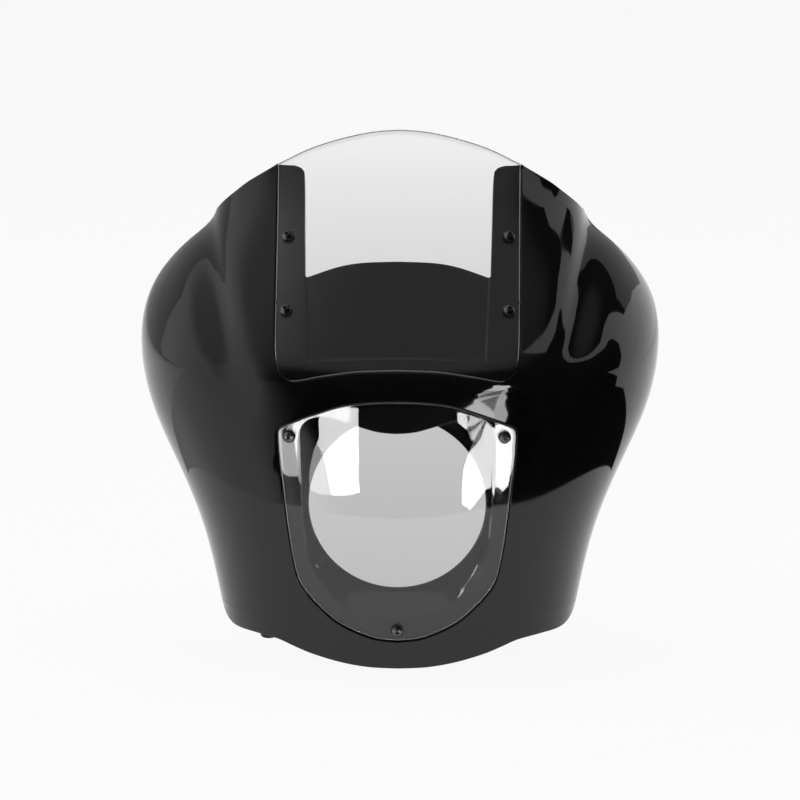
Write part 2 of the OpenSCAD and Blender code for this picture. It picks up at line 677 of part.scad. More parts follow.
module bracket_washers() {
    color("#8d9094") both_sides() for (z = [boss_low, boss_high])
        translate([boss_x, boss_face + plate_t + clear, z]) rotate([-90, 0, 0])
            washer(bolt_washer_d, bolt_d + 0.6, washer_t);
}
module bracket_screws() {
    color("#3a3c3f") both_sides() for (z = [boss_low, boss_high])
        translate([boss_x, boss_face + plate_t + washer_t + 1.5 * clear, z]) rotate([-90, 0, 0]) {
            cylinder(d = bolt_af / cos(30), h = bolt_head_h, $fn = 6);
            translate([0, 0, -plate_t - washer_t - insert_h])
                cylinder(d = bolt_d, h = plate_t + washer_t + insert_h + 0.1);
        }
}
module clamp_places() {
    both_sides() for (z = [clamp_low, clamp_high])
        translate([clamp_x, clamp_y, z]) rotate([-90, 0, 0]) children();
}
module grommets() {
    half = grommet_h / 2;
    color("#141414") clamp_places() rotate_extrude() difference() {
        translate([sleeve_d / 2 + clear / 4, -half]) square([(grommet_d - sleeve_d) / 2, grommet_h]);
        translate([groove_d / 2, -plate_t / 2 - clear / 2]) square([grommet_d, plate_t + clear]);
    }
}
module sleeves() {
    color("#9a9da1") clamp_places() translate([0, 0, -sleeve_h / 2]) washer(sleeve_d, sleeve_bore, sleeve_h);
}

// Rubber bumper: a rounded foot under the shelf, a neck through it and a bead above it
module rim_bumper() {
    under_z = shelf_z - wall / 2 - clear / 2;
    over_z = shelf_z + wall / 2 + clear / 2;
    round = 3;
    color("#191919") translate([-bumper_x, bumper_y, 0]) {
        rotate_extrude() {
            translate([0, under_z - bumper_h + round]) square([bumper_d / 2, bumper_h - round]);
            translate([0, under_z - bumper_h]) square([bumper_d / 2 - round, round + 0.1]);
            translate([bumper_d / 2 - round, under_z - bumper_h + round]) circle(r = round);
        }
        translate([0, 0, under_z - 0.1]) cylinder(d = stem_d, h = over_z - under_z + 0.2);
        translate([0, 0, over_z]) cylinder(d1 = stem_d + 3, d2 = stem_d, h = 3.5);
    }
}

shell();
screen();
lens();
screen_screws();
screen_washers();
screen_nuts();
lens_screws();
lens_washers();
lens_nuts();
left_bracket();
right_bracket();
bracket_inserts();
bracket_screws();
bracket_washers();
grommets();
sleeves();
rim_bumper();
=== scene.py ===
"""Headlight cowl: a moulded gloss black fairing with a clear screen, a clear lens and brackets inside.

Lengths in the functions are millimetres in the frame of the solids: front faces -Y, up is +Z,
and the origin is the centre of the round headlamp opening.
"""
import math

import bmesh
import bpy
import numpy as np
from bpy.props import FloatProperty, FloatVectorProperty, IntProperty, PointerProperty
from bpy.types import Operator, Panel, PropertyGroup
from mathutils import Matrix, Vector


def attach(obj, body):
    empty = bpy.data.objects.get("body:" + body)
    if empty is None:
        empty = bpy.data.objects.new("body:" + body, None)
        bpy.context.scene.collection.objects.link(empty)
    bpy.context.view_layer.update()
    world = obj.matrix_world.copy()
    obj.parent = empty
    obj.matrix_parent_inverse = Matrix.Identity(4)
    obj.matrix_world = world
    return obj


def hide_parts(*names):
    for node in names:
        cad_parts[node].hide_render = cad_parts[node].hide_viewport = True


bl_info = {
    "name": "Headlight cowl",
    "version": (1, 0, 0),
    "blender": (4, 5, 0),
    "location": "3D View > Sidebar > Cowl",
    "description": "Moulded headlight cowl with its clear sheets, fasteners and a plain studio",
    "category": "Object",
}

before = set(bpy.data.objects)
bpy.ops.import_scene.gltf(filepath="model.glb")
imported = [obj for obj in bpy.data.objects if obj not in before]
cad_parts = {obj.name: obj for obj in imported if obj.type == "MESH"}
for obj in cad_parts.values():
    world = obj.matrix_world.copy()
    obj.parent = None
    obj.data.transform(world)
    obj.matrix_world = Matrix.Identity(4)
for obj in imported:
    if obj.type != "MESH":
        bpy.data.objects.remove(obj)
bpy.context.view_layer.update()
MM = 0.001
SLIM = 0.9991  # keeps the smooth shell within the width of the solids, whose flat facets lie just inside it


# ---- sizes and colours

def length_of(label, about, value, least, most):
    return FloatProperty(name=label, description=about, default=value, min=least, max=most, unit="LENGTH")


class CowlSizes(PropertyGroup):
    edge_round: length_of("Edge rounding", "Radius of the moulding's visible edges", 0.0010, 0.0003, 0.0014)
    lens_bulge: length_of("Lens crown", "How far the lens stands in front of its flange", 0.0065, 0.005, 0.009)
    sheet_round: length_of("Sheet edge", "Rounding of the edges of both clear sheets", 0.0005, 0.0002, 0.001)
    face_columns: IntProperty(name="Face columns", description="Steps from the lens recess out to the rim",
                              default=84, min=20, max=100)


def colour_of(label, about, value):
    return FloatVectorProperty(name=label, description=about, subtype="COLOR", default=value, min=0, max=1)


class CowlFinish(PropertyGroup):
    black: colour_of("Moulding", "Colour of the moulded plastic", (0.0065, 0.0065, 0.0070))
    clear: colour_of("Clear sheet", "Tint of the screen and the lens", (0.965, 0.970, 0.972))
    steel: colour_of("Zinc steel", "Colour of nuts, washers and sleeves", (0.62, 0.63, 0.65))
    screw: colour_of("Screws", "Colour of the black screws", (0.16, 0.16, 0.165))
    rubber: colour_of("Rubber", "Colour of grommets, washers and bumper", (0.022, 0.022, 0.023))
    brass: colour_of("Inserts", "Colour of the threaded inserts", (0.72, 0.55, 0.27))


class CowlStudio(PropertyGroup):
    floor: FloatProperty(name="Floor", description="Height of the studio floor", default=-0.1530, unit="LENGTH")
    distance: FloatProperty(name="Camera distance", description="From the lamp opening to the camera",
                            default=3.2, unit="LENGTH")
    elevation: FloatProperty(name="Camera elevation", description="Angle of the camera above the cowl",
                             default=math.radians(15), subtype="ANGLE")
    azimuth: FloatProperty(name="Camera azimuth", description="Turn of the camera to the right of the front",
                           default=math.radians(0.9), subtype="ANGLE")


# ---- the moulding's surface

WALL = 3.5
LEDGE = 4.0
SEAT = 3.4
FIELD = 1.2
LAMP_R = 76.0
SHEET = 3.0
FACE_FOOT, FACE_MIDDLE, FACE_REACH = 125, 12, 113
FACE_LEAN, FACE_CROWN = 0.177, 3
SCREEN_Y, SCREEN_Z = 33, 126
BROW = 5
SQUARE = 0.25
VALLEY_FOOT, VALLEY_RISE = 60, 135
VALLEY_X, VALLEY_RUN, VALLEY_DEPTH, VALLEY_WIDTH = 128, 44, 13, 17
VALLEY_IN, VALLEY_BACK = 0.5, 0.8
WIDTHS = np.array([(-150, 152), (-100, 162), (-45, 176), (10, 199), (60, 222), (105, 232), (140, 229),
                   (170, 214), (200, 188), (235, 162), (270, 152), (310, 145)], float)
REARS = np.array([(-150, 96), (-100, 104), (-30, 118), (50, 143), (120, 170), (175, 180), (230, 173),
                  (300, 168)], float)


def spline(stations, t):
    """Natural cubic spline: cubic spans whose second slopes agree at the stations and vanish at both ends."""
    s, v = stations[:, 0], stations[:, 1]
    n, h = len(s), np.diff(s)
    m = np.eye(n)
    rhs = np.zeros(n)
    i = np.arange(1, n - 1)
    m[i, i - 1], m[i, i], m[i, i + 1] = h[:-1], 2 * (h[:-1] + h[1:]), h[1:]
    rhs[1:-1] = 6 * (np.diff(v)[1:] / h[1:] - np.diff(v)[:-1] / h[:-1])
    bend = np.linalg.solve(m, rhs)
    t = np.asarray(t, float)
    k = np.clip(np.searchsorted(s, t, side="right") - 1, 0, n - 2)
    u, w, g = s[k + 1] - t, t - s[k], h[k]
    curved = (bend[k] * u ** 3 + bend[k + 1] * w ** 3) / (6 * g)
    return curved + (v[k] / g - bend[k] * g / 6) * u + (v[k + 1] / g - bend[k + 1] * g / 6) * w


def half_at(z):
    """Half the width at a height."""
    return spline(WIDTHS, z)


def ease(t):
    """Smooth rise from 0 to 1: 3 t squared minus 2 t cubed."""
    t = np.clip(t, 0, 1)
    return t * t * (3 - 2 * t)


def spine(z):
    """Depth of the middle line: the leaning, slightly crowned face and the raked screen line, joined by the upper
    branch of a hyperbola."""
    face = -FACE_LEAN * (z + FACE_FOOT) - FACE_CROWN * (1 - ((z + FACE_MIDDLE) / FACE_REACH) ** 2)
    rake = -SCREEN_Y + (z - SCREEN_Z)
    return (face + rake) / 2 + np.sqrt(((face - rake) / 2) ** 2 + BROW ** 2)


def skin(a, z):
    """Point of the outer surface at an angle from the middle line and a height: half a squared-off ellipse from the
    spine to the rear line, with a bell-shaped valley on each side that moves outwards and deepens upwards."""
    w, c, r = half_at(z), spine(z), spline(REARS, z)
    x = w * np.sin(a)
    y = r - (r - c) * np.cos(a) * (1 + SQUARE * np.sin(a) ** 2)
    along = (z - VALLEY_FOOT) / VALLEY_RISE
    off = (np.abs(x) - VALLEY_X - VALLEY_RUN * along) / VALLEY_WIDTH
    d = VALLEY_DEPTH * ease(along) * np.exp(-off ** 2)
    return np.stack([x - np.sign(a) * d * VALLEY_IN, y + d * VALLEY_BACK, z + 0 * x], -1)


def unit(v):
    return v / np.maximum(np.linalg.norm(v, axis=-1, keepdims=True), 1e-12)


def slopes(a, z):
    """Slopes of the surface across and up, from points a small step to either side."""
    e, f = 0.001, 0.05
    b = np.clip(a, -np.pi / 2 + e, np.pi / 2 - e)
    return (skin(b + e, z) - skin(b - e, z)) / (2 * e), (skin(b, z + f) - skin(b, z - f)) / (2 * f)


def inward(a, z):
    """Unit normal into the wall: up slope crossed with across slope."""
    across, up = slopes(a, z)
    return unit(np.cross(up, across))


def under(a, z, depth):
    """The surface's point moved inwards along its normal by depth."""
    return skin(a, z) + np.asarray(depth)[..., None] * inward(a, z)


def on(p, depth):
    """The same for places [x, z] of the front view, whose angle is the arcsine of x over the half width."""
    a = np.arcsin(np.clip(p[..., 0] / half_at(p[..., 1]), -1, 1))
    return under(a, p[..., 1], depth)


def through(p):
    """Catmull-Rom curve through the points, 40 steps a span."""
    p = np.asarray(p, float)
    q = np.vstack([p[0], p, p[-1]])
    t = (np.arange(40) / 40)[None, :, None]
    a, b, c, d = (q[i:i + len(p) - 1, None] for i in range(4))
    line = b + t * (c - a) / 2 + t ** 2 * (a - 2.5 * b + 2 * c - d / 2) + t ** 3 * (1.5 * (b - c) + (d - a) / 2)
    return np.vstack([line.reshape(-1, p.shape[1]), p[-1]])


def even(p, n):
    """The line as n steps of equal length."""
    s = np.concatenate([[0], np.cumsum(np.linalg.norm(np.diff(p, axis=0), axis=1))])
    t = np.linspace(0, s[-1], n + 1)
    return np.stack([np.interp(t, s, p[:, i]) for i in range(p.shape[1])], -1)


def smooth(p, n):
    return even(through(p), n)


def beside(p, g):
    """The line moved sideways by g, to the right of its direction."""
    t = np.gradient(p, axis=0)
    t /= np.linalg.norm(t, axis=1, keepdims=True)
    return p + np.asarray(g).reshape(-1, 1) * np.stack([t[:, 1], -t[:, 0]], -1)


def pinned(p):
    """The line with both ends on the centre plane."""
    p = p.copy()
    p[[0, -1], 0] = 0
    return p


FINE = 5
N_FOOT, N_REAR, N_CREST, N_TAB, N_CHEEK, N_SILL = (FINE * n for n in (9, 14, 5, 5, 5, 7))
N_HALF = N_FOOT + N_REAR + N_CREST + N_TAB + N_CHEEK + N_SILL
FIRST = N_FOOT + N_REAR + N_CREST

foot = smooth([(0, -152.5), (26, -151.3), (51, -147), (76, -140), (92, -134), (106, -129), (126, -127), (145, -127),
               (153, -123), (half_at(-113), -113)], N_FOOT)
rear_z = np.linspace(-113, 226, N_REAR + 1)
rear = np.stack([half_at(rear_z), rear_z], -1)
crest = smooth([(half_at(226), 226), (156, 238.5), (145, 249), (131.5, 260), (107.5, 274.5)], N_CREST)
side = smooth([(107.5, 274.5), (106.6, 215), (105.8, 172)], N_TAB)
cheek = smooth([(105.8, 172), (105.4, 147), (104.4, 131), (101.5, 120)], N_CHEEK)
sill = smooth([(101.5, 120), (95, 114.5), (86, 113.5), (64, 118), (34, 122.2), (0, 123.5)], N_SILL)
outer = np.vstack([foot, rear[1:], crest[1:], side[1:], cheek[1:], sill[1:]])
lens_line = smooth([(0, -126), (22, -123), (49.5, -110.5), (69.5, -93), (85, -73), (91.5, -48), (96, -14),
                    (99, 18), (101.5, 40), (102.6, 62), (101, 71.5), (89, 77.5), (66, 87), (45, 94), (20, 97.3),
                    (0, 98)], N_HALF)
ledge_line = smooth([(0, -107.5), (11, -106.5), (35, -98), (56, -82.5), (72, -62), (80, -38), (82.5, 0), (83.5, 40),
                     (82.5, 68), (78, 79.5), (70, 82.5), (58, 81.5), (34, 74.5), (16, 69.5), (0, 68)], N_HALF)
crease_line = smooth([(0, -106.6), (11, -105.6), (35, -97.2), (55.5, -82), (71.2, -61.8), (79.1, -38), (81.6, 0),
                      (82.6, 40), (81.8, 68), (77.5, 78.5), (66, 84.2), (45, 90.4), (20, 93.8), (0, 94.6)], N_HALF)
seat_tab = smooth([(93, 274.5), (86, 272.5), (83.4, 266), (82, 228), (80.5, 192)], N_TAB)
seat_cheek = smooth([(80.5, 192), (77, 130)], N_CHEEK)
seat_sill = smooth([(77, 130), (40, 132.2), (0, 133.5)], N_SILL)
opening_sill = smooth([(80.5, 192), (54, 200), (31, 203.6), (0, 204.7)], N_SILL)


# ---- meshes from grids of points

def quads_of(rows, cols, start):
    """Quads between neighbours in a grid whose points are numbered row by row from start."""
    i = start + np.arange(rows - 1)[:, None] * cols + np.arange(cols - 1)
    return np.stack([i, i + cols, i + cols + 1, i + 1], -1).reshape(-1, 4)


def welded(patches, mirror=False):
    """All patches as one set of points and faces. A patch is (grid of points, material number).

    Points at the same place become one. A quad that loses a corner this way becomes a triangle."""
    points, quads, mats, start = [], [], [], 0
    for grid, mat in patches:
        for sign in ((1, -1) if mirror else (1,)):
            rows, cols = grid.shape[:2]
            points.append(grid.reshape(-1, 3) * [sign, 1, 1])
            q = quads_of(rows, cols, start)
            quads.append(q if sign > 0 else q[:, ::-1])
            mats.append(np.full(len(q), mat))
            start += rows * cols
    points, quads, mats = np.vstack(points), np.vstack(quads), np.concatenate(mats)
    keys = np.round(points / 1e-4).astype(np.int64)
    _, first, back = np.unique(keys, axis=0, return_index=True, return_inverse=True)
    quads = back.reshape(-1)[quads]
    same = quads == np.roll(quads, -1, axis=1)
    lost = same.sum(1)
    faces, slots = [quads[lost == 0]], [mats[lost == 0]]
    tris, tri_slots = [], []
    for j in range(4):
        pick = (lost == 1) & same[:, j]
        t = np.delete(quads[pick], j, axis=1)
        keep = (t[:, 0] != t[:, 1]) & (t[:, 1] != t[:, 2]) & (t[:, 0] != t[:, 2])
        tris.append(t[keep])
        tri_slots.append(mats[pick][keep])
    return points[first], faces[0], np.vstack(tris), np.concatenate(slots + tri_slots)


def placed(name, data):
    """A new object of the scene."""
    item = bpy.data.objects.new(name, data)
    bpy.context.scene.collection.objects.link(item)
    return item


def mesh_of(name, points, quads, tris):
    mesh = bpy.data.meshes.new(name)
    mesh.from_pydata((points * MM).tolist(), [], quads.tolist() + tris.tolist())
    return mesh


def piece_of(name, patches, materials, mirror=False):
    """A piece at the origin from its patches, smooth shaded, with its faces turned outwards."""
    points, quads, tris, slots = welded(patches, mirror)
    mesh = mesh_of(name, points, quads, tris)
    mesh.polygons.foreach_set("material_index", slots.astype(np.int32))
    bm = bmesh.new()
    bm.from_mesh(mesh)
    bmesh.ops.recalc_face_normals(bm, faces=bm.faces)
    bm.to_mesh(mesh)
    bm.free()
    mesh.shade_smooth()
    mesh.set_sharp_from_angle(angle=math.radians(42))
    for mat in materials:
        mesh.materials.append(mat)
    return placed(name, mesh)


def arc(corner, u, v, r, n=6):
    """Quarter turn that rounds a corner: from corner + r u to corner + r v, u and v being unit directions."""
    t = np.linspace(0, np.pi / 2, n + 1)[:, None]
    r = np.broadcast_to(np.asarray(r, float), corner.shape[:-1])[..., None, None]
    return corner[..., None, :] + r * ((1 - np.sin(t)) * u[..., None, :] + (1 - np.cos(t)) * v[..., None, :])


def columns(*parts):
    """Grids and single lines side by side, as one grid of rows."""
    return np.concatenate([p if p.ndim == 3 else p[:, None] for p in parts], axis=1)


def flat(line, y):
    """A line of the front view, [x, z], at one depth y."""
    return np.stack([line[:, 0], np.full(len(line), float(y)), line[:, 1]], -1)


def blend_lines(p, q, n):
    """n + 1 lines from p to q, straight between paired points, as rows x lines x values."""
    t = np.linspace(0, 1, n + 1)[None, :, None]
    return p[:, None] * (1 - t) + q[:, None] * t


# ---- the shell

def rim_frame():
    """For each point of the outer line: angle, height, point, inward normal, direction along the surface away
    from the edge, and how far one may step that way before the crest's corner folds the step over."""
    a = np.arcsin(np.clip(outer[:, 0] / half_at(outer[:, 1]), -1, 1))
    z = outer[:, 1]
    p, n = skin(a, z), inward(a, z)
    t = np.gradient(p, axis=0)
    t[FIRST] = p[FIRST + 1] - p[FIRST - 1]
    t[[0, -1], 1:] = 0
    u = unit(np.cross(unit(t), n))
    s = np.concatenate([[0], np.cumsum(np.linalg.norm(np.diff(p, axis=0), axis=1))])
    wide = np.dot(unit(p[FIRST - 3] - p[FIRST]), unit(p[FIRST + 3] - p[FIRST]))
    room = np.abs(s - s[FIRST]) * np.tan(np.arccos(wide) / 2) * 0.95
    return a, z, p, n, u, room


def step_in(a, z, u, s):
    """Angle and height after a step of s along the direction u of the surface: least squares on the two slopes."""
    across, up = slopes(a, z)
    aa, az, zz = (across * across).sum(-1), (across * up).sum(-1), (up * up).sum(-1)
    ra, rz = (across * u).sum(-1) * s, (up * u).sum(-1) * s
    det = aa * zz - az * az
    return a + (ra * zz - rz * az) / det, z + (rz * aa - ra * az) / det


def shell_patches(r, n_face):
    """The right half of the moulding as grids: front, rim, screen seat, field, and the same lines behind."""
    a, z, p, n, u, room = rim_frame()
    rows = np.arange(N_HALF + 1)
    screen = rows >= FIRST
    band = np.minimum(np.where(screen, 6.0, 2.6), room)
    rr = np.minimum(r, room)
    hold = np.maximum(band * 0.6, rr)

    def edge(s, depth):
        sa, sz = step_in(a, z, u, np.minimum(s, room))
        sa[[0, -1]] = 0
        return under(sa, sz, depth)

    def lens_at(g, depth):
        return on(pinned(beside(lens_line, g)), depth)

    def ledge_at(g, depth):
        return on(pinned(beside(ledge_line, g)), depth)

    near = pinned(beside(lens_line, 7.0))
    near_a, near_z = np.arcsin(near[:, 0] / half_at(near[:, 1])), near[:, 1]
    far_a, far_z = step_in(a, z, u, band)

    def face(count, depth):
        t = np.linspace(0, 1, count + 1)
        fa = near_a[:, None] * (1 - t) + far_a[:, None] * t
        fz = near_z[:, None] * (1 - t) + far_z[:, None] * t
        fa[[0, -1]] = 0
        return under(fa, fz, depth)

    q = np.stack([ledge_line[:, 0] * 0.97, np.where(ledge_line[:, 1] > 0, np.maximum(ledge_line[:, 1] - 1, 0),
                                                    ledge_line[:, 1] * 0.93)], -1)
    reach = np.linalg.norm(q, axis=1)
    least = LAMP_R + 4.5
    throat = pinned(q * np.where(reach < least, least / np.maximum(reach, 1), 1)[:, None])
    ring = LAMP_R * throat / np.linalg.norm(throat, axis=1, keepdims=True)
    out = unit(flat(ring, 0))
    deep = np.broadcast_to([0.0, 1.0, 0.0], out.shape)
    # lens recess: rounded top edge, wall, hollow corner, ledge, rounded inner edge, throat
    top = [lens_at(r * (1 - math.sin(t)), r * (1 - math.cos(t))) for t in np.linspace(0, math.pi / 2, 7)]
    hollow = [lens_at(-0.8 * (1 - math.cos(t)), LEDGE - 0.8 * (1 - math.sin(t)))
              for t in np.linspace(0, math.pi / 2, 5)]
    brink = [ledge_at(r * (1 - math.sin(t)), LEDGE + r * (1 - math.cos(t))) for t in np.linspace(0, math.pi / 2, 6)]
    ledge_out = pinned(beside(ledge_line, 2.2 * r))
    lens_in = pinned(beside(lens_line, -2.0))
    shelf = [on(lens_in * (1 - t) + ledge_out * t, LEDGE) for t in np.linspace(0, 1, 6)]
    throat_front = blend_lines(brink[-1], flat(throat, 0), 4)
    panel = blend_lines(flat(throat, 0), flat(ring, 0) + 2 * r * out, 3)[:, 1:]
    front = columns(
        flat(ring, WALL / 2)[:, None], arc(flat(ring, 0), out, deep, r)[:, ::-1], panel[:, ::-1],
        throat_front[:, ::-1], *brink[::-1][1:], *shelf[::-1], *hollow[::-1], *top[::-1],
        lens_at(2.2 * r, 0), lens_at(4.0, 0), face(n_face, 0), edge(hold, 0),
        edge(rr + 0.3 * (hold - rr), 0), arc(p, u, n, rr))
    lead = np.minimum(np.where(screen, WALL, 0.6), room)
    corner = p + WALL * n
    back_edge = np.where(screen[:, None], edge(lead, WALL), corner + lead[:, None] * u)
    step_line = pinned(beside(lens_line, WALL))
    ledge_back = pinned(beside(ledge_line, WALL))
    throat_back = pinned(beside(throat, WALL))
    behind = columns(
        back_edge, edge(np.maximum(band, lead), WALL), face(26, WALL)[:, ::-1][:, 1:],
        blend_lines(on(step_line, WALL), on(step_line, LEDGE + WALL), 2),
        blend_lines(on(step_line, LEDGE + WALL), on(ledge_back, LEDGE + WALL), 3)[:, 1:],
        blend_lines(on(ledge_back, LEDGE + WALL), flat(throat_back, WALL), 3)[:, 1:],
        blend_lines(flat(throat_back, WALL), flat(ring, WALL) + 2 * r * out, 2)[:, 1:],
        arc(flat(ring, WALL), out, -deep, r), flat(ring, WALL / 2))
    # free rim from the foot to the crest's corner
    k = slice(0, FIRST + 1)
    turn = np.minimum(SEAT, WALL - lead[k])[:, None]
    rim = columns((p[k] + rr[k][:, None] * n[k]), p[k] + turn * n[k], arc(corner[k], -n[k], u[k], lead[k]))
    # screen seat: step down from the face, then in to the seat's inner line
    m = slice(FIRST, N_HALF + 1)
    inner = pinned_end(np.vstack([seat_tab, seat_cheek[1:], seat_sill[1:]]))
    n_across = 8
    across = [outer[m] * (1 - t) + inner * t for t in np.linspace(0, 1, n_across + 1)]
    seat_front = columns(p[m] + rr[m][:, None] * n[m], p[m] + SEAT * n[m], *[on(g, SEAT) for g in across[1:]])
    back_line = edge(lead, SEAT + WALL)[m]
    start = edge(lead, WALL)[m]
    seat_inner_back = on(inner, SEAT + WALL)
    seat_back = columns(start, blend_lines(back_line, seat_inner_back, n_across))
    seat_edge = on(inner, SEAT)
    tab_rows = slice(0, N_TAB + 1)
    tab_rim = columns(seat_edge[tab_rows], seat_inner_back[tab_rows])
    cap = np.stack([seat_front[0, 1:], seat_back[0, 1:]])
    tip = seat_front[0, 1]
    cap_tip = np.array([[tip, seat_back[0, 0]], [tip, seat_back[0, 1]]])
    # the shallow field under the window
    i = np.arange(N_SILL + 1)
    low = inner[N_TAB + N_CHEEK + i]
    f = (np.arange(N_CHEEK + 1) / N_CHEEK)[None, :, None]
    field = low[:, None] + f * (opening_sill[:, None] - low[:, None])
    field = np.stack([field[..., 0] * (1 - 2 / 77), field[..., 1] + 2 * (1 - f[..., 0])], -1)
    field[-1, :, 0] = 0
    step_from = inner[N_TAB:]
    step_to = np.vstack([field[0, ::-1], field[1:, 0]])

    def field_step(depth):
        return columns(*[on(step_from * (1 - t) + step_to * t, depth + FIELD * ease(t)) for t in np.linspace(0, 1, 7)])

    field_front = on(field, SEAT + FIELD)
    field_back = on(field, SEAT + FIELD + WALL)
    step_front, step_back = field_step(SEAT), field_step(SEAT + WALL)
    sill_rim = np.stack([np.vstack([step[0], base[1:, -1]])
                         for step, base in ((step_front, field_front), (step_back, field_back))])
    return [(front, 0), (rim, 0), (seat_front, 0), (tab_rim, 0), (cap, 0), (cap_tip, 0), (step_front, 0),
            (field_front, 0), (sill_rim, 0), (behind, 1), (seat_back, 1), (step_back, 1), (field_back, 1)]


def pinned_end(p):
    """The line with its last end on the centre plane."""
    p = p.copy()
    p[-1, 0] = 0
    return p


def boss_patches():
    """Round bosses from inside the wall back to their bracket, bored for an insert: rings along a turned profile."""
    turn = np.linspace(0, 2 * np.pi, 49)
    boss_x, boss_r = 131, 9
    patches = []
    for z in (-8.0, 62.0):
        ring = np.stack([boss_x + boss_r * np.cos(turn), z + boss_r * np.sin(turn)], -1)
        root = on(ring, WALL / 2)
        root[:, 0], root[:, 2] = ring[:, 0], ring[:, 1]
        middle = on(np.array([[boss_x, z]]), WALL / 2)
        start = np.broadcast_to(middle, root.shape)

        def at(radius, y):
            return np.stack([boss_x + radius * np.cos(turn), np.full(len(turn), y), z + radius * np.sin(turn)], -1)

        rings = [start, root, at(boss_r, 22.6), at(8.85, 23.4), at(8.4, 23.85), at(7.8, 24), at(4.3, 24), at(4.3, 12),
                 at(3.3, 12), at(3.3, 9), at(0, 9)]
        patches.append((np.stack(rings), 1))
    return patches


def shelf_patches():
    """The small shelf inside the rim for the bumper: a rounded tongue of constant thickness, bored in its middle."""
    turn = np.linspace(0, 2 * np.pi, 65)
    cx, cy, top, low = -114.0, 44.0, -122.25, -125.75

    def outline(grow, z):
        # half disc to the rear, square to the front, where it runs into the wall
        x = cx + (9.5 - grow) * np.cos(turn)
        y = cy + np.where(np.sin(turn) > 0, 9.5 * np.sin(turn), 30 * np.sin(turn)) * (1 - grow / 9.5)
        front = skin(np.arcsin(x / half_at(z)), np.full(len(x), float(z)))[:, 1] + WALL * 0.6
        return np.stack([x, np.maximum(y, front), np.full(len(x), float(z))], -1)

    def bore(z):
        return np.stack([cx + 3.6 * np.cos(turn), cy + 3.6 * np.sin(turn), np.full(len(turn), float(z))], -1)

    rings = [bore(low), outline(0.5, low), outline(0.0, low + 0.5), outline(0.0, top - 0.5), outline(0.5, top),
             bore(top), bore(low)]
    return [(np.stack(rings), 1)]


# ---- the clear sheets

def sheet_edge(front_near, front, back, back_near, r):
    """Rounded edge of a sheet between its two faces: quarter turns of radius r at both arrises."""
    u, n = unit(front_near - front), unit(back - front)
    v = unit(back_near - back)
    return columns(arc(front, u, n, r, 4), arc(back, -n, v, r, 4))


def screen_patches(r):
    """The clear screen, ruled in the front view from its lower edge to its top edge, laid on the surface and doubled
    at its thickness."""
    low_half = pinned_end(beside(np.vstack([cheek, sill[1:]]), 0.8))
    start = beside(np.array([(107.5, 274.5), side[1]]), 0.8)[0]
    top_half = pinned_end(smooth([start, (82, 286), (59, 293.4), (36, 298.6), (18, 301.2), (0, 302.2)],
                                 N_CHEEK + N_SILL))
    t = (np.linspace(0, 1, 61) ** 1.5)[None, :]
    fx = low_half[:, :1] * (1 - t) + top_half[:, :1] * t
    fz = low_half[:, 1:] * (1 - t) + top_half[:, 1:] * t
    fa = np.arcsin(np.clip(fx / half_at(fz), -1, 1))
    fa[-1] = 0
    front, back = under(fa, fz, 0.0), under(fa, fz, SHEET)
    # the border of the sheet, once round: up the side, over the top and back along the lower edge
    ring = lambda g: np.vstack([g[:0:-1, 0], g[0, :], g[1:, -1]])
    near = lambda g: np.vstack([g[:0:-1, 1], g[1, :1], g[1, 1:-1], g[1, -1:], g[1:, -2]])
    front_ring, back_ring, near_ring, back_near = ring(front), ring(back), near(front), near(back)
    n = unit(back_ring - front_ring)
    t_dir = np.gradient(front_ring, axis=0)
    u = unit(np.cross(t_dir, n))
    u *= np.sign((u * (near_ring - front_ring)).sum(-1, keepdims=True) + 1e-9)
    u[[0, -1], 0] = 0
    edge = columns(arc(front_ring, u, n, r, 4), arc(back_ring, -n, u, r, 4))
    # the faces stop where the rounding starts
    k = front.shape[0] - 1
    c = front.shape[1] - 1
    for face_grid, line in ((front, edge[:, 0]), (back, edge[:, -1])):
        face_grid[:0:-1, 0] = line[:k]
        face_grid[0, :] = line[k:k + c + 1]
        face_grid[1:, -1] = line[k + c + 1:]
    return [(front, 0), (back, 0), (edge, 1)]


def lens_patches(r, bulge):
    """The lens: a flat flange on the ledge, a rounded crease, and a crown whose height falls with the square of the
    distance from its middle. Its level lines turn from the outline of the crease into an ellipse at the middle."""
    middle = np.array([0.0, -15.0])
    rim_line = pinned(beside(lens_line, -0.9))
    ray = crease_line - middle
    reach = np.linalg.norm(ray, axis=1, keepdims=True)
    aim = ray / reach
    round_reach = 1 / np.sqrt((aim[:, :1] / 84.0) ** 2 + (aim[:, 1:] / 100.0) ** 2)
    f = np.concatenate([np.linspace(0, 0.96, 41), np.linspace(0.97, 1, 5)])
    sit = LEDGE - 0.2 - SHEET
    blend = ease(f / 0.97)[None, :, None]
    place = middle + f[None, :, None] * aim[:, None] * (reach[:, None] * blend + round_reach[:, None] * (1 - blend))
    lift = bulge * (1 - f ** 2)
    place[[0, -1], :, 0] = 0
    flange_t = np.linspace(0, 1, 7)[1:]
    flange = crease_line[:, None] + (rim_line - crease_line)[:, None] * flange_t[None, :, None]

    def face(depth):
        crown = on(place, depth - lift)
        ring = on(flange, depth)
        return columns(crown, ring)

    front, back = face(sit), face(sit + SHEET)
    edge = sheet_edge(front[:, -2], front[:, -1], back[:, -1], back[:, -2], r)
    edge[[0, -1], :, 0] = 0
    front[:, -1], back[:, -1] = edge[:, 0], edge[:, -1]
    return [(front, 0), (back, 0), (edge, 1)]


# ---- screws and washers

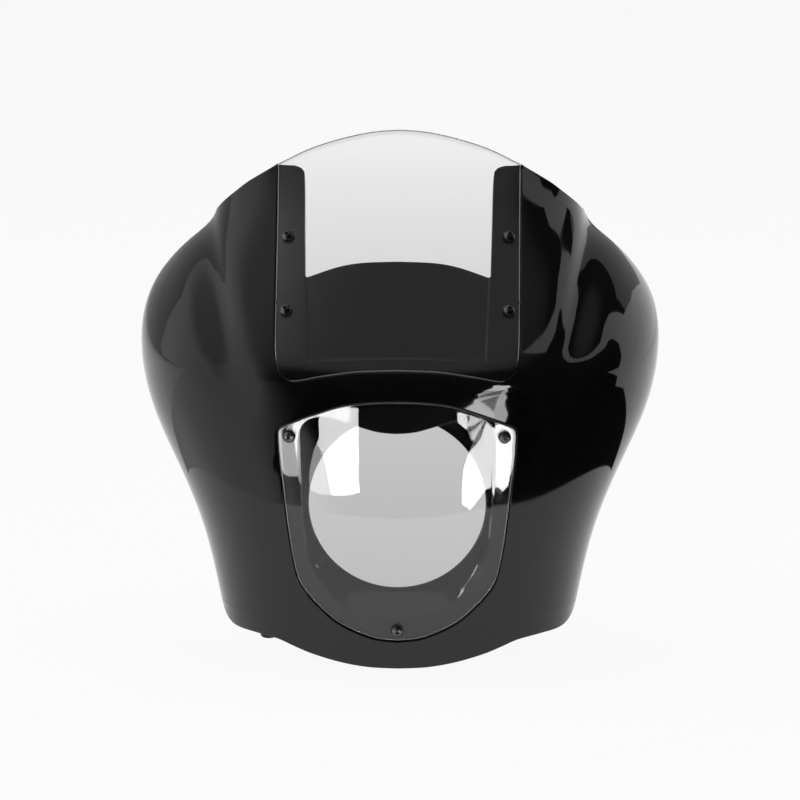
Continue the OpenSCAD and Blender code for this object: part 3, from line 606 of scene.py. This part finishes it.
TURN = np.linspace(0, 2 * np.pi, 49)
HEAD_R, HEAD_H = 4.75, 2.8
THREAD_R, PITCH = 2.5, 0.8
SCREEN_SCREWS = [(96.3, 220), (95.8, 166), (-96.3, 220), (-95.8, 166)]
LENS_SCREWS = [(92.3, 64.5), (-92.3, 64.5), (0, -115.5)]


def stood(grid, place, depth):
    """The grid, whose third value is its height above a seat, stood on the surface at a place of the front view."""
    place = np.asarray(place, float)
    out = -inward(np.arcsin(place[0] / half_at(place[1])), place[1])
    side = unit(np.cross([0.0, 0.0, 1.0], out))
    up = np.cross(out, side)
    return on(place, depth) + grid[..., :1] * side + grid[..., 1:2] * up + grid[..., 2:] * out


def hexagon(flat_r):
    """Distance from the axis to a hexagon, for each angle of TURN."""
    return flat_r / np.cos((TURN + np.pi / 6) % (np.pi / 3) - np.pi / 6)


def cross(arm, half):
    """Distance from the axis to a plus sign, for each angle of TURN: the nearer of an arm's end and its flank."""
    u = (TURN + np.pi / 4) % (np.pi / 2) - np.pi / 4
    return np.minimum(arm / np.cos(u), half / np.maximum(np.abs(np.sin(u)), 1e-6))


def screw_grid(recess, foot_share, deep, length):
    """A button head screw as rings round its axis: the recess's floor and walls, a small chamfer, the spherical dome,
    the rim, the underside, and a shank whose radius falls and rises along a helix."""
    ball = (HEAD_R ** 2 + HEAD_H ** 2) / (2 * HEAD_H)

    def dome(r):
        return HEAD_H - ball + np.sqrt(ball ** 2 - r ** 2)

    one = np.ones_like(TURN)
    lip = recess + 0.22
    rings = [(0 * one, (deep - 0.5) * one), (foot_share * recess, deep * one), (recess, dome(recess) - 0.2),
             (lip, dome(lip))]
    rings += [(lip + t * (HEAD_R - lip), dome(lip + t * (HEAD_R - lip))) for t in (0.25, 0.5, 0.75, 0.93)]
    rings += [(HEAD_R * one, 0.12 * one), ((HEAD_R - 0.12) * one, 0 * one), (THREAD_R * one, 0 * one)]
    z = -np.arange(0.4, length - 0.5, 0.1)[:, None]
    phase = (z / PITCH + TURN / (2 * np.pi)) % 1
    thread = THREAD_R - 0.42 * np.abs(2 * phase - 1)
    thread[:, -1] = thread[:, 0]
    rings += [(t, z[i] * one) for i, t in enumerate(thread)]
    rings += [(2.0 * one, -length * one), (0 * one, -length * one)]
    r, h = (np.stack([np.broadcast_to(ring[i], TURN.shape) for ring in rings]) for i in (0, 1))
    return np.stack([r * np.cos(TURN), r * np.sin(TURN), h], -1)


def washer_grid(outer_r, bore_r, thick):
    """A washer: its section, with rounded arrises, carried round the axis."""
    e = 0.25 * thick
    profile = np.array([(bore_r, e), (bore_r + e, 0), (outer_r - e, 0), (outer_r - 0.3 * e, 0.3 * e), (outer_r, e),
                        (outer_r, thick - e), (outer_r - 0.3 * e, thick - 0.3 * e), (outer_r - e, thick),
                        (bore_r + e, thick), (bore_r, thick - e), (bore_r, e)])
    r, h = profile[:, :1], profile[:, 1:]
    return np.stack([r * np.cos(TURN), r * np.sin(TURN), h + 0 * TURN], -1)


# ---- finishes

def link(tree, a, b):
    tree.links.new(a, b)


def nodes_of(tree, *kinds):
    """New shader nodes of the given kinds."""
    return [tree.nodes.new("ShaderNode" + kind) for kind in kinds]


def preset(node, values):
    """Sets plain values on named inputs."""
    for label, value in values.items():
        node.inputs[label].default_value = value


def calc(tree, kind, *terms, clamp=False):
    """A sum, product or other piece of arithmetic on sockets and plain numbers."""
    node, = nodes_of(tree, "Math")
    node.operation, node.use_clamp = kind, clamp
    for socket, term in zip(node.inputs, terms):
        if isinstance(term, float):
            socket.default_value = term
        else:
            link(tree, term, socket)
    return node.outputs[0]


def ramp(tree, source, low, high, first, last, kind="LINEAR"):
    """Goes from first to last while the source goes from low to high."""
    node, = nodes_of(tree, "MapRange")
    node.interpolation_type = kind
    for label, value in (("From Min", low), ("From Max", high), ("To Min", first), ("To Max", last)):
        if isinstance(value, float):
            node.inputs[label].default_value = value
        else:
            link(tree, value, node.inputs[label])
    link(tree, source, node.inputs["Value"])
    return node.outputs["Result"]


def effect(name, inputs, outputs):
    """An empty node group with the named sockets, and its own input and output nodes and coordinates."""
    tree = bpy.data.node_groups.new(name, "ShaderNodeTree")
    for label, default in inputs:
        socket = tree.interface.new_socket(name=label, in_out="INPUT", socket_type="NodeSocketFloat")
        socket.default_value = default
    for label in outputs:
        tree.interface.new_socket(name=label, in_out="OUTPUT", socket_type="NodeSocketFloat")
    return tree, *(tree.nodes.new(k) for k in ("NodeGroupInput", "NodeGroupOutput", "ShaderNodeTexCoord"))


def grain_group():
    """Shared effect: a slow and a fine noise on Object coordinates, which vary the roughness between Low and High
    and give a height for a bump."""
    name = "Surface grain"
    if name in bpy.data.node_groups:
        return bpy.data.node_groups[name]
    tree, inp, out, place = effect(name, (("Scale", 400.0), ("Low", 0.2), ("High", 0.4), ("Slow scale", 18.0),
                                          ("Slow share", 0.5)), ("Roughness", "Height"))
    fine, slow, mix = nodes_of(tree, "TexNoise", "TexNoise", "Mix")
    for noise, socket, detail in ((fine, "Scale", 3), (slow, "Slow scale", 2)):
        noise.inputs["Detail"].default_value = detail
        link(tree, place.outputs["Object"], noise.inputs["Vector"])
        link(tree, inp.outputs[socket], noise.inputs["Scale"])
    mix.data_type = "FLOAT"
    link(tree, inp.outputs["Slow share"], mix.inputs[0])
    link(tree, fine.outputs["Fac"], mix.inputs[2])
    link(tree, slow.outputs["Fac"], mix.inputs[3])
    spread = ramp(tree, mix.outputs[0], 0.3, 0.7, inp.outputs["Low"], inp.outputs["High"])
    link(tree, spread, out.inputs["Roughness"])
    link(tree, mix.outputs[0], out.inputs["Height"])
    return tree


def dust_group():
    """Shared effect: sparse pale specks, a mask from a cell pattern on Object coordinates."""
    name = "Dust specks"
    if name in bpy.data.node_groups:
        return bpy.data.node_groups[name]
    tree, inp, out, place = effect(name, (("Scale", 260.0), ("Size", 0.05), ("Amount", 0.5)), ("Mask",))
    cells, = nodes_of(tree, "TexVoronoi")
    link(tree, place.outputs["Object"], cells.inputs["Vector"])
    link(tree, inp.outputs["Scale"], cells.inputs["Scale"])
    near = calc(tree, "LESS_THAN", cells.outputs["Distance"], inp.outputs["Size"])
    link(tree, calc(tree, "MULTIPLY", near, inp.outputs["Amount"]), out.inputs["Mask"])
    return tree


def blank(name):
    """A new material with its node tree and its shader."""
    mat = bpy.data.materials.new(name)
    mat.use_nodes = True
    return mat, mat.node_tree, mat.node_tree.nodes["Principled BSDF"]


def grained(tree, shader, values):
    """Adds the grain with values for its sockets in order, and drives the roughness with it."""
    grain, = nodes_of(tree, "Group")
    grain.node_tree = grain_group()
    for socket, value in zip(grain.inputs, values):
        socket.default_value = value
    link(tree, grain.outputs["Roughness"], shader.inputs["Roughness"])
    return grain


def finish(name, colour, metallic=0.0, low=0.2, high=0.3, scale=400.0, slow_scale=18.0, slow_share=0.5,
           bump=0.05, reach=0.0002, vary=0.0, dust=0.0):
    """A finish for one kind of surface: colour, grain in its roughness and height, and sometimes specks of dust."""
    mat, tree, shader = blank(name)
    preset(shader, {"Base Color": (*colour, 1), "Metallic": metallic})
    grain = grained(tree, shader, (scale, low, high, slow_scale, slow_share))
    if bump:
        lift, = nodes_of(tree, "Bump")
        preset(lift, {"Strength": bump, "Distance": reach})
        link(tree, grain.outputs["Height"], lift.inputs["Height"])
        link(tree, lift.outputs["Normal"], shader.inputs["Normal"])
    source = None
    if vary:
        tone, = nodes_of(tree, "Mix")
        tone.data_type = "RGBA"
        preset(tone, {"A": (*[c * (1 - vary) for c in colour], 1),
                      "B": (*[min(1, c * (1 + vary)) for c in colour], 1)})
        link(tree, grain.outputs["Height"], tone.inputs["Factor"])
        source = tone.outputs["Result"]
    if dust:
        specks, over = nodes_of(tree, "Group", "Mix")
        specks.node_tree = dust_group()
        preset(specks, {"Amount": dust})
        over.data_type = "RGBA"
        preset(over, {"A": (*colour, 1), "B": (0.35, 0.34, 0.32, 1)})
        link(tree, specks.outputs["Mask"], over.inputs["Factor"])
        if source is not None:
            link(tree, source, over.inputs["A"])
        source = over.outputs["Result"]
    if source is not None:
        link(tree, source, shader.inputs["Base Color"])
    return mat


def clear_finish(name, tint, low, high, frost=0.0):
    """Clear acrylic: a glass of index 1.49, which lets lamps through by a transparent share for shadow rays. Frost is
    the share that scatters light, as a cut edge does."""
    mat, tree, shader = blank(name)
    preset(shader, {"Base Color": (*tint, 1), "Transmission Weight": 1.0 - frost, "IOR": 1.49, "Metallic": 0.0})
    grained(tree, shader, (220.0, low, high, 9.0, 0.8))
    path, open_air, mix = nodes_of(tree, "LightPath", "BsdfTransparent", "MixShader")
    preset(open_air, {"Color": (*[c * 0.97 for c in tint], 1)})
    link(tree, path.outputs["Is Shadow Ray"], mix.inputs["Fac"])
    link(tree, shader.outputs["BSDF"], mix.inputs[1])
    link(tree, open_air.outputs["BSDF"], mix.inputs[2])
    link(tree, mix.outputs["Shader"], tree.nodes["Material Output"].inputs["Surface"])
    return mat


def dress(node, mat):
    """Gives a node of the solids its finish."""
    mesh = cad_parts[node].data
    mesh.materials.clear()
    mesh.materials.append(mat)


def keep(piece, slot, node):
    """Rides the piece on the cowl and lets it stand for its node."""
    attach(piece, "root")
    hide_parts(node)


class COWL_OT_shell(Operator):
    """Make the moulded shell with its bosses and the bumper's shelf"""
    bl_idname = "cowl.shell"
    bl_label = "Shell"

    def execute(self, context):
        sizes, look = context.scene.cowl_sizes, context.scene.cowl_finish
        gloss = finish("Gloss black moulding", look.black, low=0.035, high=0.065, scale=150.0, slow_scale=14.0,
                       slow_share=0.55, bump=0.012, reach=0.0004)
        inside = finish("Satin inside of the moulding", look.black, low=0.36, high=0.5, scale=1300.0, slow_scale=30.0,
                        slow_share=0.25, bump=0.2, reach=0.0001, vary=0.2)
        patches = shell_patches(sizes.edge_round / MM, sizes.face_columns) + boss_patches()
        patches = [(grid * (SLIM, 1, 1), slot) for grid, slot in patches]
        piece = piece_of("cowl_shell", patches, [gloss, inside], mirror=True)
        shelf = piece_of("bumper_shelf", shelf_patches(), [gloss, inside])
        keep(piece, "gloss_black", "shell")
        keep(shelf, "gloss_black", "shell")
        return {"FINISHED"}


class COWL_OT_sheets(Operator):
    """Make the clear screen and the crowned clear lens"""
    bl_idname = "cowl.sheets"
    bl_label = "Clear sheets"

    def execute(self, context):
        sizes, look = context.scene.cowl_sizes, context.scene.cowl_finish
        clear = clear_finish("Clear polished sheet", look.clear, 0.0, 0.02)
        edge = clear_finish("Clear sheet edge", [c * 0.9 for c in look.clear], 0.18, 0.3, frost=0.45)
        r = sizes.sheet_round / MM
        screen = piece_of("clear_screen", screen_patches(r), [clear, edge], mirror=True)
        lens = piece_of("clear_lens", lens_patches(r, sizes.lens_bulge / MM), [clear, edge], mirror=True)
        keep(screen, "clear_sheet", "screen")
        keep(lens, "clear_sheet", "lens")
        return {"FINISHED"}


class COWL_OT_fasteners(Operator):
    """Give screws, washers, nuts, inserts and sleeves their finishes"""
    bl_idname = "cowl.fasteners"
    bl_label = "Fasteners"

    def execute(self, context):
        look = context.scene.cowl_finish
        screw = finish("Black oxide screws", look.screw, metallic=1.0, low=0.24, high=0.42, scale=900.0, vary=0.25)
        nylon = finish("Black nylon washers", (0.05, 0.05, 0.052), low=0.3, high=0.4, scale=700.0)
        zinc = finish("Zinc plated steel", look.steel, metallic=1.0, low=0.24, high=0.4, scale=600.0, bump=0.04,
                      vary=0.08)
        brass = finish("Brass inserts", look.brass, metallic=1.0, low=0.25, high=0.4, scale=600.0, vary=0.1)
        rubber = finish("Soft black rubber", look.rubber, low=0.6, high=0.78, scale=800.0, bump=0.15, dust=0.2)
        for nodes, mat in (("bracket_screws", screw), ("screen_nuts lens_nuts bracket_washers sleeves", zinc),
                           ("bracket_inserts", brass), ("grommets rim_bumper", rubber)):
            for node in nodes.split():
                dress(node, mat)
        hexes, crosses = screw_grid(hexagon(1.55), 1.0, 0.8, 15.8), screw_grid(cross(2.3, 0.62), 0.45, 0.9, 15.0)
        ring = washer_grid(5.5, 2.7, 1.0)
        for name, grid, places, depth, mat, slot in (
                ("screen_screws", hexes, SCREEN_SCREWS, -1.2, screw, "black_screw"),
                ("screen_washers", ring, SCREEN_SCREWS, -0.1, nylon, "washer_black"),
                ("lens_screws", crosses, LENS_SCREWS, -0.4, screw, "black_screw"),
                ("lens_washers", ring, LENS_SCREWS, 0.7, rubber, "rubber")):
            piece = piece_of("turned_" + name, [(stood(grid, place, depth), 0) for place in places], [mat])
            keep(piece, slot, name)
        return {"FINISHED"}


class COWL_OT_brackets(Operator):
    """Give the two steel brackets their powder coat"""
    bl_idname = "cowl.brackets"
    bl_label = "Brackets"

    def execute(self, context):
        coat = finish("Black powder coat", (0.030, 0.030, 0.032), low=0.42, high=0.56, scale=1500.0, slow_scale=40.0,
                      slow_share=0.2, bump=0.3, reach=0.0001, vary=0.15)
        for node in ("left_bracket", "right_bracket"):
            dress(node, coat)
        return {"FINISHED"}


# ---- the studio

def card(name, middle, width, height, strength):
    """A soft area lamp at middle that faces the origin; strength is the brightness of its face, 1 being white."""
    lamp = bpy.data.lights.new(name, "AREA")
    lamp.shape = "RECTANGLE"
    lamp.size, lamp.size_y = width, height
    lamp.energy = strength * math.pi * width * height
    item = placed(name, lamp)
    item.location = middle
    item.rotation_euler = (-Vector(middle)).to_track_quat("-Z", "Y").to_euler()
    item.visible_camera = False
    item.visible_glossy = item.visible_transmission = False


def ways(pairs, reach):
    """Places at a reach from the cowl, from pairs of degrees: round from the front to the right, and up."""
    turn, rise = np.radians(np.array(pairs, float)).T
    return np.array([0, 0.05, 0.1]) + reach * np.stack([np.sin(turn) * np.cos(rise), -np.cos(turn) * np.cos(rise),
                                                        np.sin(rise)], -1)


def panel(name, corners, strength, seen_in):
    """A bright sheet that only the gloss of the named pieces mirrors, such as a window or a white reflector."""
    mesh = bpy.data.meshes.new(name)
    mesh.from_pydata(np.asarray(corners, float).tolist(), [], [list(range(len(corners)))])
    mat = bpy.data.materials.new(name)
    mat.use_nodes = True
    tree = mat.node_tree
    tree.nodes.clear()
    glow, out = nodes_of(tree, "Emission", "OutputMaterial")
    preset(glow, {"Strength": strength})
    link(tree, glow.outputs["Emission"], out.inputs["Surface"])
    mat.cycles.emission_sampling = "NONE"
    mesh.materials.append(mat)
    sheet = placed(name, mesh)
    sheet.visible_camera = sheet.visible_diffuse = False
    sheet.visible_shadow = sheet.visible_volume_scatter = False
    mirrors = bpy.data.collections.new(name + " is mirrored by")
    for piece in seen_in:
        mirrors.objects.link(bpy.data.objects[piece])
    sheet.light_linking.receiver_collection = mirrors


def stage_sheet(name, grid, mat):
    """A smooth part of the stage from a grid of points in metres."""
    points, quads, tris, _ = welded([(grid / MM, 0)])
    mesh = mesh_of(name, points, quads, tris)
    mesh.shade_smooth()
    mesh.materials.append(mat)
    sheet = placed(name, mesh)
    return sheet


def sweep_floor(height, mat):
    """Floor and backdrop: a round table top under the cowl, a level floor in front that the gloss doesn't mirror,
    and a floor behind that rises along a quarter turn into a wall."""
    under_top = height - 0.0004
    t = np.linspace(0, np.pi / 2, 17)
    y = np.concatenate([[0.38, 1.0, 2.0, 4.0], 5.0 + 1.6 * np.sin(t), [6.6]])
    z = np.concatenate([np.full(4, under_top), under_top + 1.6 * (1 - np.cos(t)), [height + 7.0]])
    x = np.linspace(-9, 9, 19)
    stage_sheet("studio_floor", np.stack(np.broadcast_arrays(x[:, None], y[None], z[None]), -1), mat)
    y = np.array([-9.0, -3.0, 0.0, 0.38])
    front = stage_sheet("studio_front", np.stack(np.broadcast_arrays(x[:, None], y[None], under_top), -1), mat)
    front.visible_glossy = front.visible_transmission = False
    turn, r = np.linspace(0, 2 * np.pi, 97), np.array([0.0, 0.21, 0.42])[:, None]
    top = np.stack(np.broadcast_arrays(r * np.cos(turn), 0.17 + r * np.sin(turn), height), -1)
    stage_sheet("studio_table", top, mat)


def pale_finish():
    """Pale matt floor. The camera sees it nearly white; the gloss and the clear sheets see it less so. Its glow is
    painted by distance behind the cowl:
    the sheets see painted shade near the cowl, where its shadow falls, and a whiter floor far behind it, and the gloss
    sees a painted glow that is brighter near the cowl than far behind."""
    mat, tree, shader = blank("Pale studio floor")
    preset(shader, {"Base Color": (0.46, 0.46, 0.455, 1), "Roughness": 0.9, "Specular IOR Level": 0.0})
    glow, path, mix, place, split = nodes_of(tree, "Emission", "LightPath", "MixShader", "TexCoord", "SeparateXYZ")
    preset(glow, {"Strength": 1.15})
    link(tree, place.outputs["Object"], split.inputs["Vector"])
    behind = split.outputs["Y"]
    through_sheet, in_gloss = path.outputs["Is Transmission Ray"], path.outputs["Is Glossy Ray"]
    # rays that went through a sheet count as glossy too, so they are taken out of the mirrored share
    # painted light: the glow that the gloss mirrors is brighter near the cowl and fades far behind it
    mirrored = calc(tree, "MULTIPLY", calc(tree, "SUBTRACT", in_gloss, through_sheet, clamp=True),
                    ramp(tree, behind, 1.0, 3.0, 0.75, 0.25))
    # painted shade: through the sheets the floor glows less near the cowl, where its shadow falls, and whiter far
    # behind
    shade_painted_through_sheets = calc(tree, "MULTIPLY", through_sheet, ramp(tree, behind, 0.0, 2.8, 0.27, 0.80))
    direct = calc(tree, "MULTIPLY", path.outputs["Is Camera Ray"], 0.8)
    link(tree, calc(tree, "ADD", calc(tree, "ADD", direct, mirrored), shade_painted_through_sheets), mix.inputs["Fac"])
    link(tree, shader.outputs["BSDF"], mix.inputs[1])
    link(tree, glow.outputs["Emission"], mix.inputs[2])
    link(tree, mix.outputs["Shader"], tree.nodes["Material Output"].inputs["Surface"])
    return mat


def surroundings(scene):
    """The air of the studio: bright to the left, dark in front, to the right and right behind, darker with height
    except for a weak glow straight overhead."""
    world = bpy.data.worlds.new("Studio air")
    scene.world = world
    world.use_nodes = True
    tree = world.node_tree
    back = tree.nodes["Background"]
    place, split = nodes_of(tree, "TexCoord", "SeparateXYZ")
    link(tree, place.outputs["Generated"], split.inputs["Vector"])
    x, y, z = split.outputs
    # lean is 1.45 y - x - 0.6 times the larger of z and 0
    lean = calc(tree, "SUBTRACT", calc(tree, "MULTIPLY", y, 1.45), x)
    lean = calc(tree, "SUBTRACT", lean, calc(tree, "MULTIPLY", calc(tree, "MAXIMUM", z, 0.0), 0.6))
    level = ramp(tree, lean, -0.85, -0.05, 0.0, 0.78, "SMOOTHSTEP")
    for source, low, high, first, last in ((x, 0.35, -0.05, 0.0, 1.0), (y, 0.35, 0.95, 1.0, 0.25),
                                           (z, 0.60, 0.95, 1.0, 0.35)):
        level = calc(tree, "MULTIPLY", level, ramp(tree, source, low, high, first, last, "SMOOTHSTEP"))
    level = calc(tree, "ADD", level, ramp(tree, z, 0.80, 0.93, 0.015, 0.17, "SMOOTHSTEP"))
    link(tree, level, back.inputs["Strength"])
    preset(back, {"Color": (1, 1, 0.975, 1)})


# corners of what the gloss mirrors: the first four in millimetres [x, z] on one upright plane, the last in degrees
WINDOW_Y = -1.03
LEFT_WINDOW = [(-215, -60), (-215, -250), (-235, -400), (-260, -520), (-300, -600), (-390, -640), (-500, -675),
               (-640, -725), (-640, -480), (-550, -390), (-490, -290), (-480, -120)]
LEFT_CURTAIN = [(-640, -480), (-640, -725), (-785, -785), (-1020, -870), (-980, -800), (-770, -600)]
RIGHT_WINDOW = [(330, -100), (330, -220), (400, -280), (440, -360), (520, -410), (545, -500), (545, -620),
                (575, -700), (615, -755), (680, -785), (745, -825), (850, -840), (980, -860), (1120, -910),
                (1200, -800), (1100, -550), (950, -400), (800, -200), (600, -80)]
TORN_LIGHT = [(500, 140), (500, 40), (470, -30), (435, -90), (430, -140), (395, -170), (400, -250), (375, -280),
              (365, -330), (320, -360), (300, -420), (440, -480), (620, -500), (655, -450), (625, -390),
              (615, -330), (635, -270), (610, -200), (635, -120), (620, -40), (660, 40), (640, 120)]
RIGHT_REFLECTOR = [(58, 62), (70, 59), (79, 54), (86, 49.5), (94, 44), (103, 45.5), (111, 41), (116, 32), (121, 22),
                   (130, 17), (140, 13), (152, 4), (172, 2), (172, -14), (103, -14), (104, 0), (108, 12), (109, 20),
                   (106, 27), (102, 32), (96, 34), (91, 38), (86, 42), (79, 46), (72, 52), (64, 58)]


class COWL_OT_stage(Operator):
    """Make the pale floor, the soft lamps, the windows and reflectors that the gloss mirrors, and the camera"""
    bl_idname = "cowl.stage"
    bl_label = "Studio"

    def execute(self, context):
        studio = context.scene.cowl_studio
        scene = context.scene
        sweep_floor(studio.floor, pale_finish())
        surroundings(scene)
        card("Overhead soft light", (0.0, 0.1, 2.6), 2.4, 1.6, 2.0)
        card("Front soft box", (-0.6, -2.6, 1.4), 1.2, 1.0, 2.5)
        lens = ["clear_lens", "turned_lens_screws"]
        for name, outline, strength, seen_in in (
                ("left_window", LEFT_WINDOW, 9.0, lens), ("left_curtain", LEFT_CURTAIN, 3.4, lens),
                ("right_window", RIGHT_WINDOW, 10.0, lens),
                ("torn_light", TORN_LIGHT, 10.5, ["cowl_shell", "clear_screen"])):
            panel(name, [(x * MM, WINDOW_Y, z * MM) for x, z in outline], strength, seen_in)
        body = ["cowl_shell", "clear_screen", "turned_screen_screws"]
        panel("right_reflector", ways(RIGHT_REFLECTOR, 2.5), 0.9, body)

        camera = bpy.data.cameras.new("Photograph view")
        eye = placed("Photograph view", camera)
        az, el, d = studio.azimuth, studio.elevation, studio.distance
        look = Vector((-math.sin(az) * math.cos(el), math.cos(az) * math.cos(el), -math.sin(el)))
        right = Vector((math.cos(az), math.sin(az), 0))
        up = right.cross(look)
        pixel, picture, film = 0.000864, 800, 36.0
        # the origin lies 2.8 pixels left of the picture's centre and 102.5 below it
        aim = right * (2.8 * pixel) + up * (102.5 * pixel)
        eye.location = -look * d
        eye.rotation_euler = (aim - eye.location).to_track_quat("-Z", "Y").to_euler()
        camera.sensor_width = film
        camera.lens = film * (aim - eye.location).length / (picture * pixel)
        camera.clip_end = 60
        camera.dof.use_dof = False
        scene.camera = eye
        scene.view_settings.view_transform = "Standard"
        return {"FINISHED"}


class COWL_PT_panel(Panel):
    """Sizes, colours and the steps that make the cowl"""
    bl_idname = "COWL_PT_panel"
    bl_label = "Headlight cowl"
    bl_space_type = "VIEW_3D"
    bl_region_type = "UI"
    bl_category = "Cowl"

    def draw(self, context):
        scene = context.scene
        for group in (scene.cowl_sizes, scene.cowl_finish, scene.cowl_studio):
            box = self.layout.box()
            for name in group.bl_rna.properties.keys():
                if name not in {"rna_type", "name"}:
                    box.prop(group, name)
        for step in STEPS:
            self.layout.operator(step.bl_idname)


STEPS = (COWL_OT_shell, COWL_OT_sheets, COWL_OT_fasteners, COWL_OT_brackets, COWL_OT_stage)
CLASSES = (CowlSizes, CowlFinish, CowlStudio, *STEPS, COWL_PT_panel)


def register():
    for kind in CLASSES:
        bpy.utils.register_class(kind)
    bpy.types.Scene.cowl_sizes = PointerProperty(type=CowlSizes)
    bpy.types.Scene.cowl_finish = PointerProperty(type=CowlFinish)
    bpy.types.Scene.cowl_studio = PointerProperty(type=CowlStudio)


def unregister():
    del bpy.types.Scene.cowl_sizes, bpy.types.Scene.cowl_finish, bpy.types.Scene.cowl_studio
    for kind in reversed(CLASSES):
        bpy.utils.unregister_class(kind)


def main():
    register()
    bpy.ops.cowl.shell()
    bpy.ops.cowl.sheets()
    bpy.ops.cowl.fasteners()
    bpy.ops.cowl.brackets()
    bpy.ops.cowl.stage()


if __name__ == "__main__":
    main()
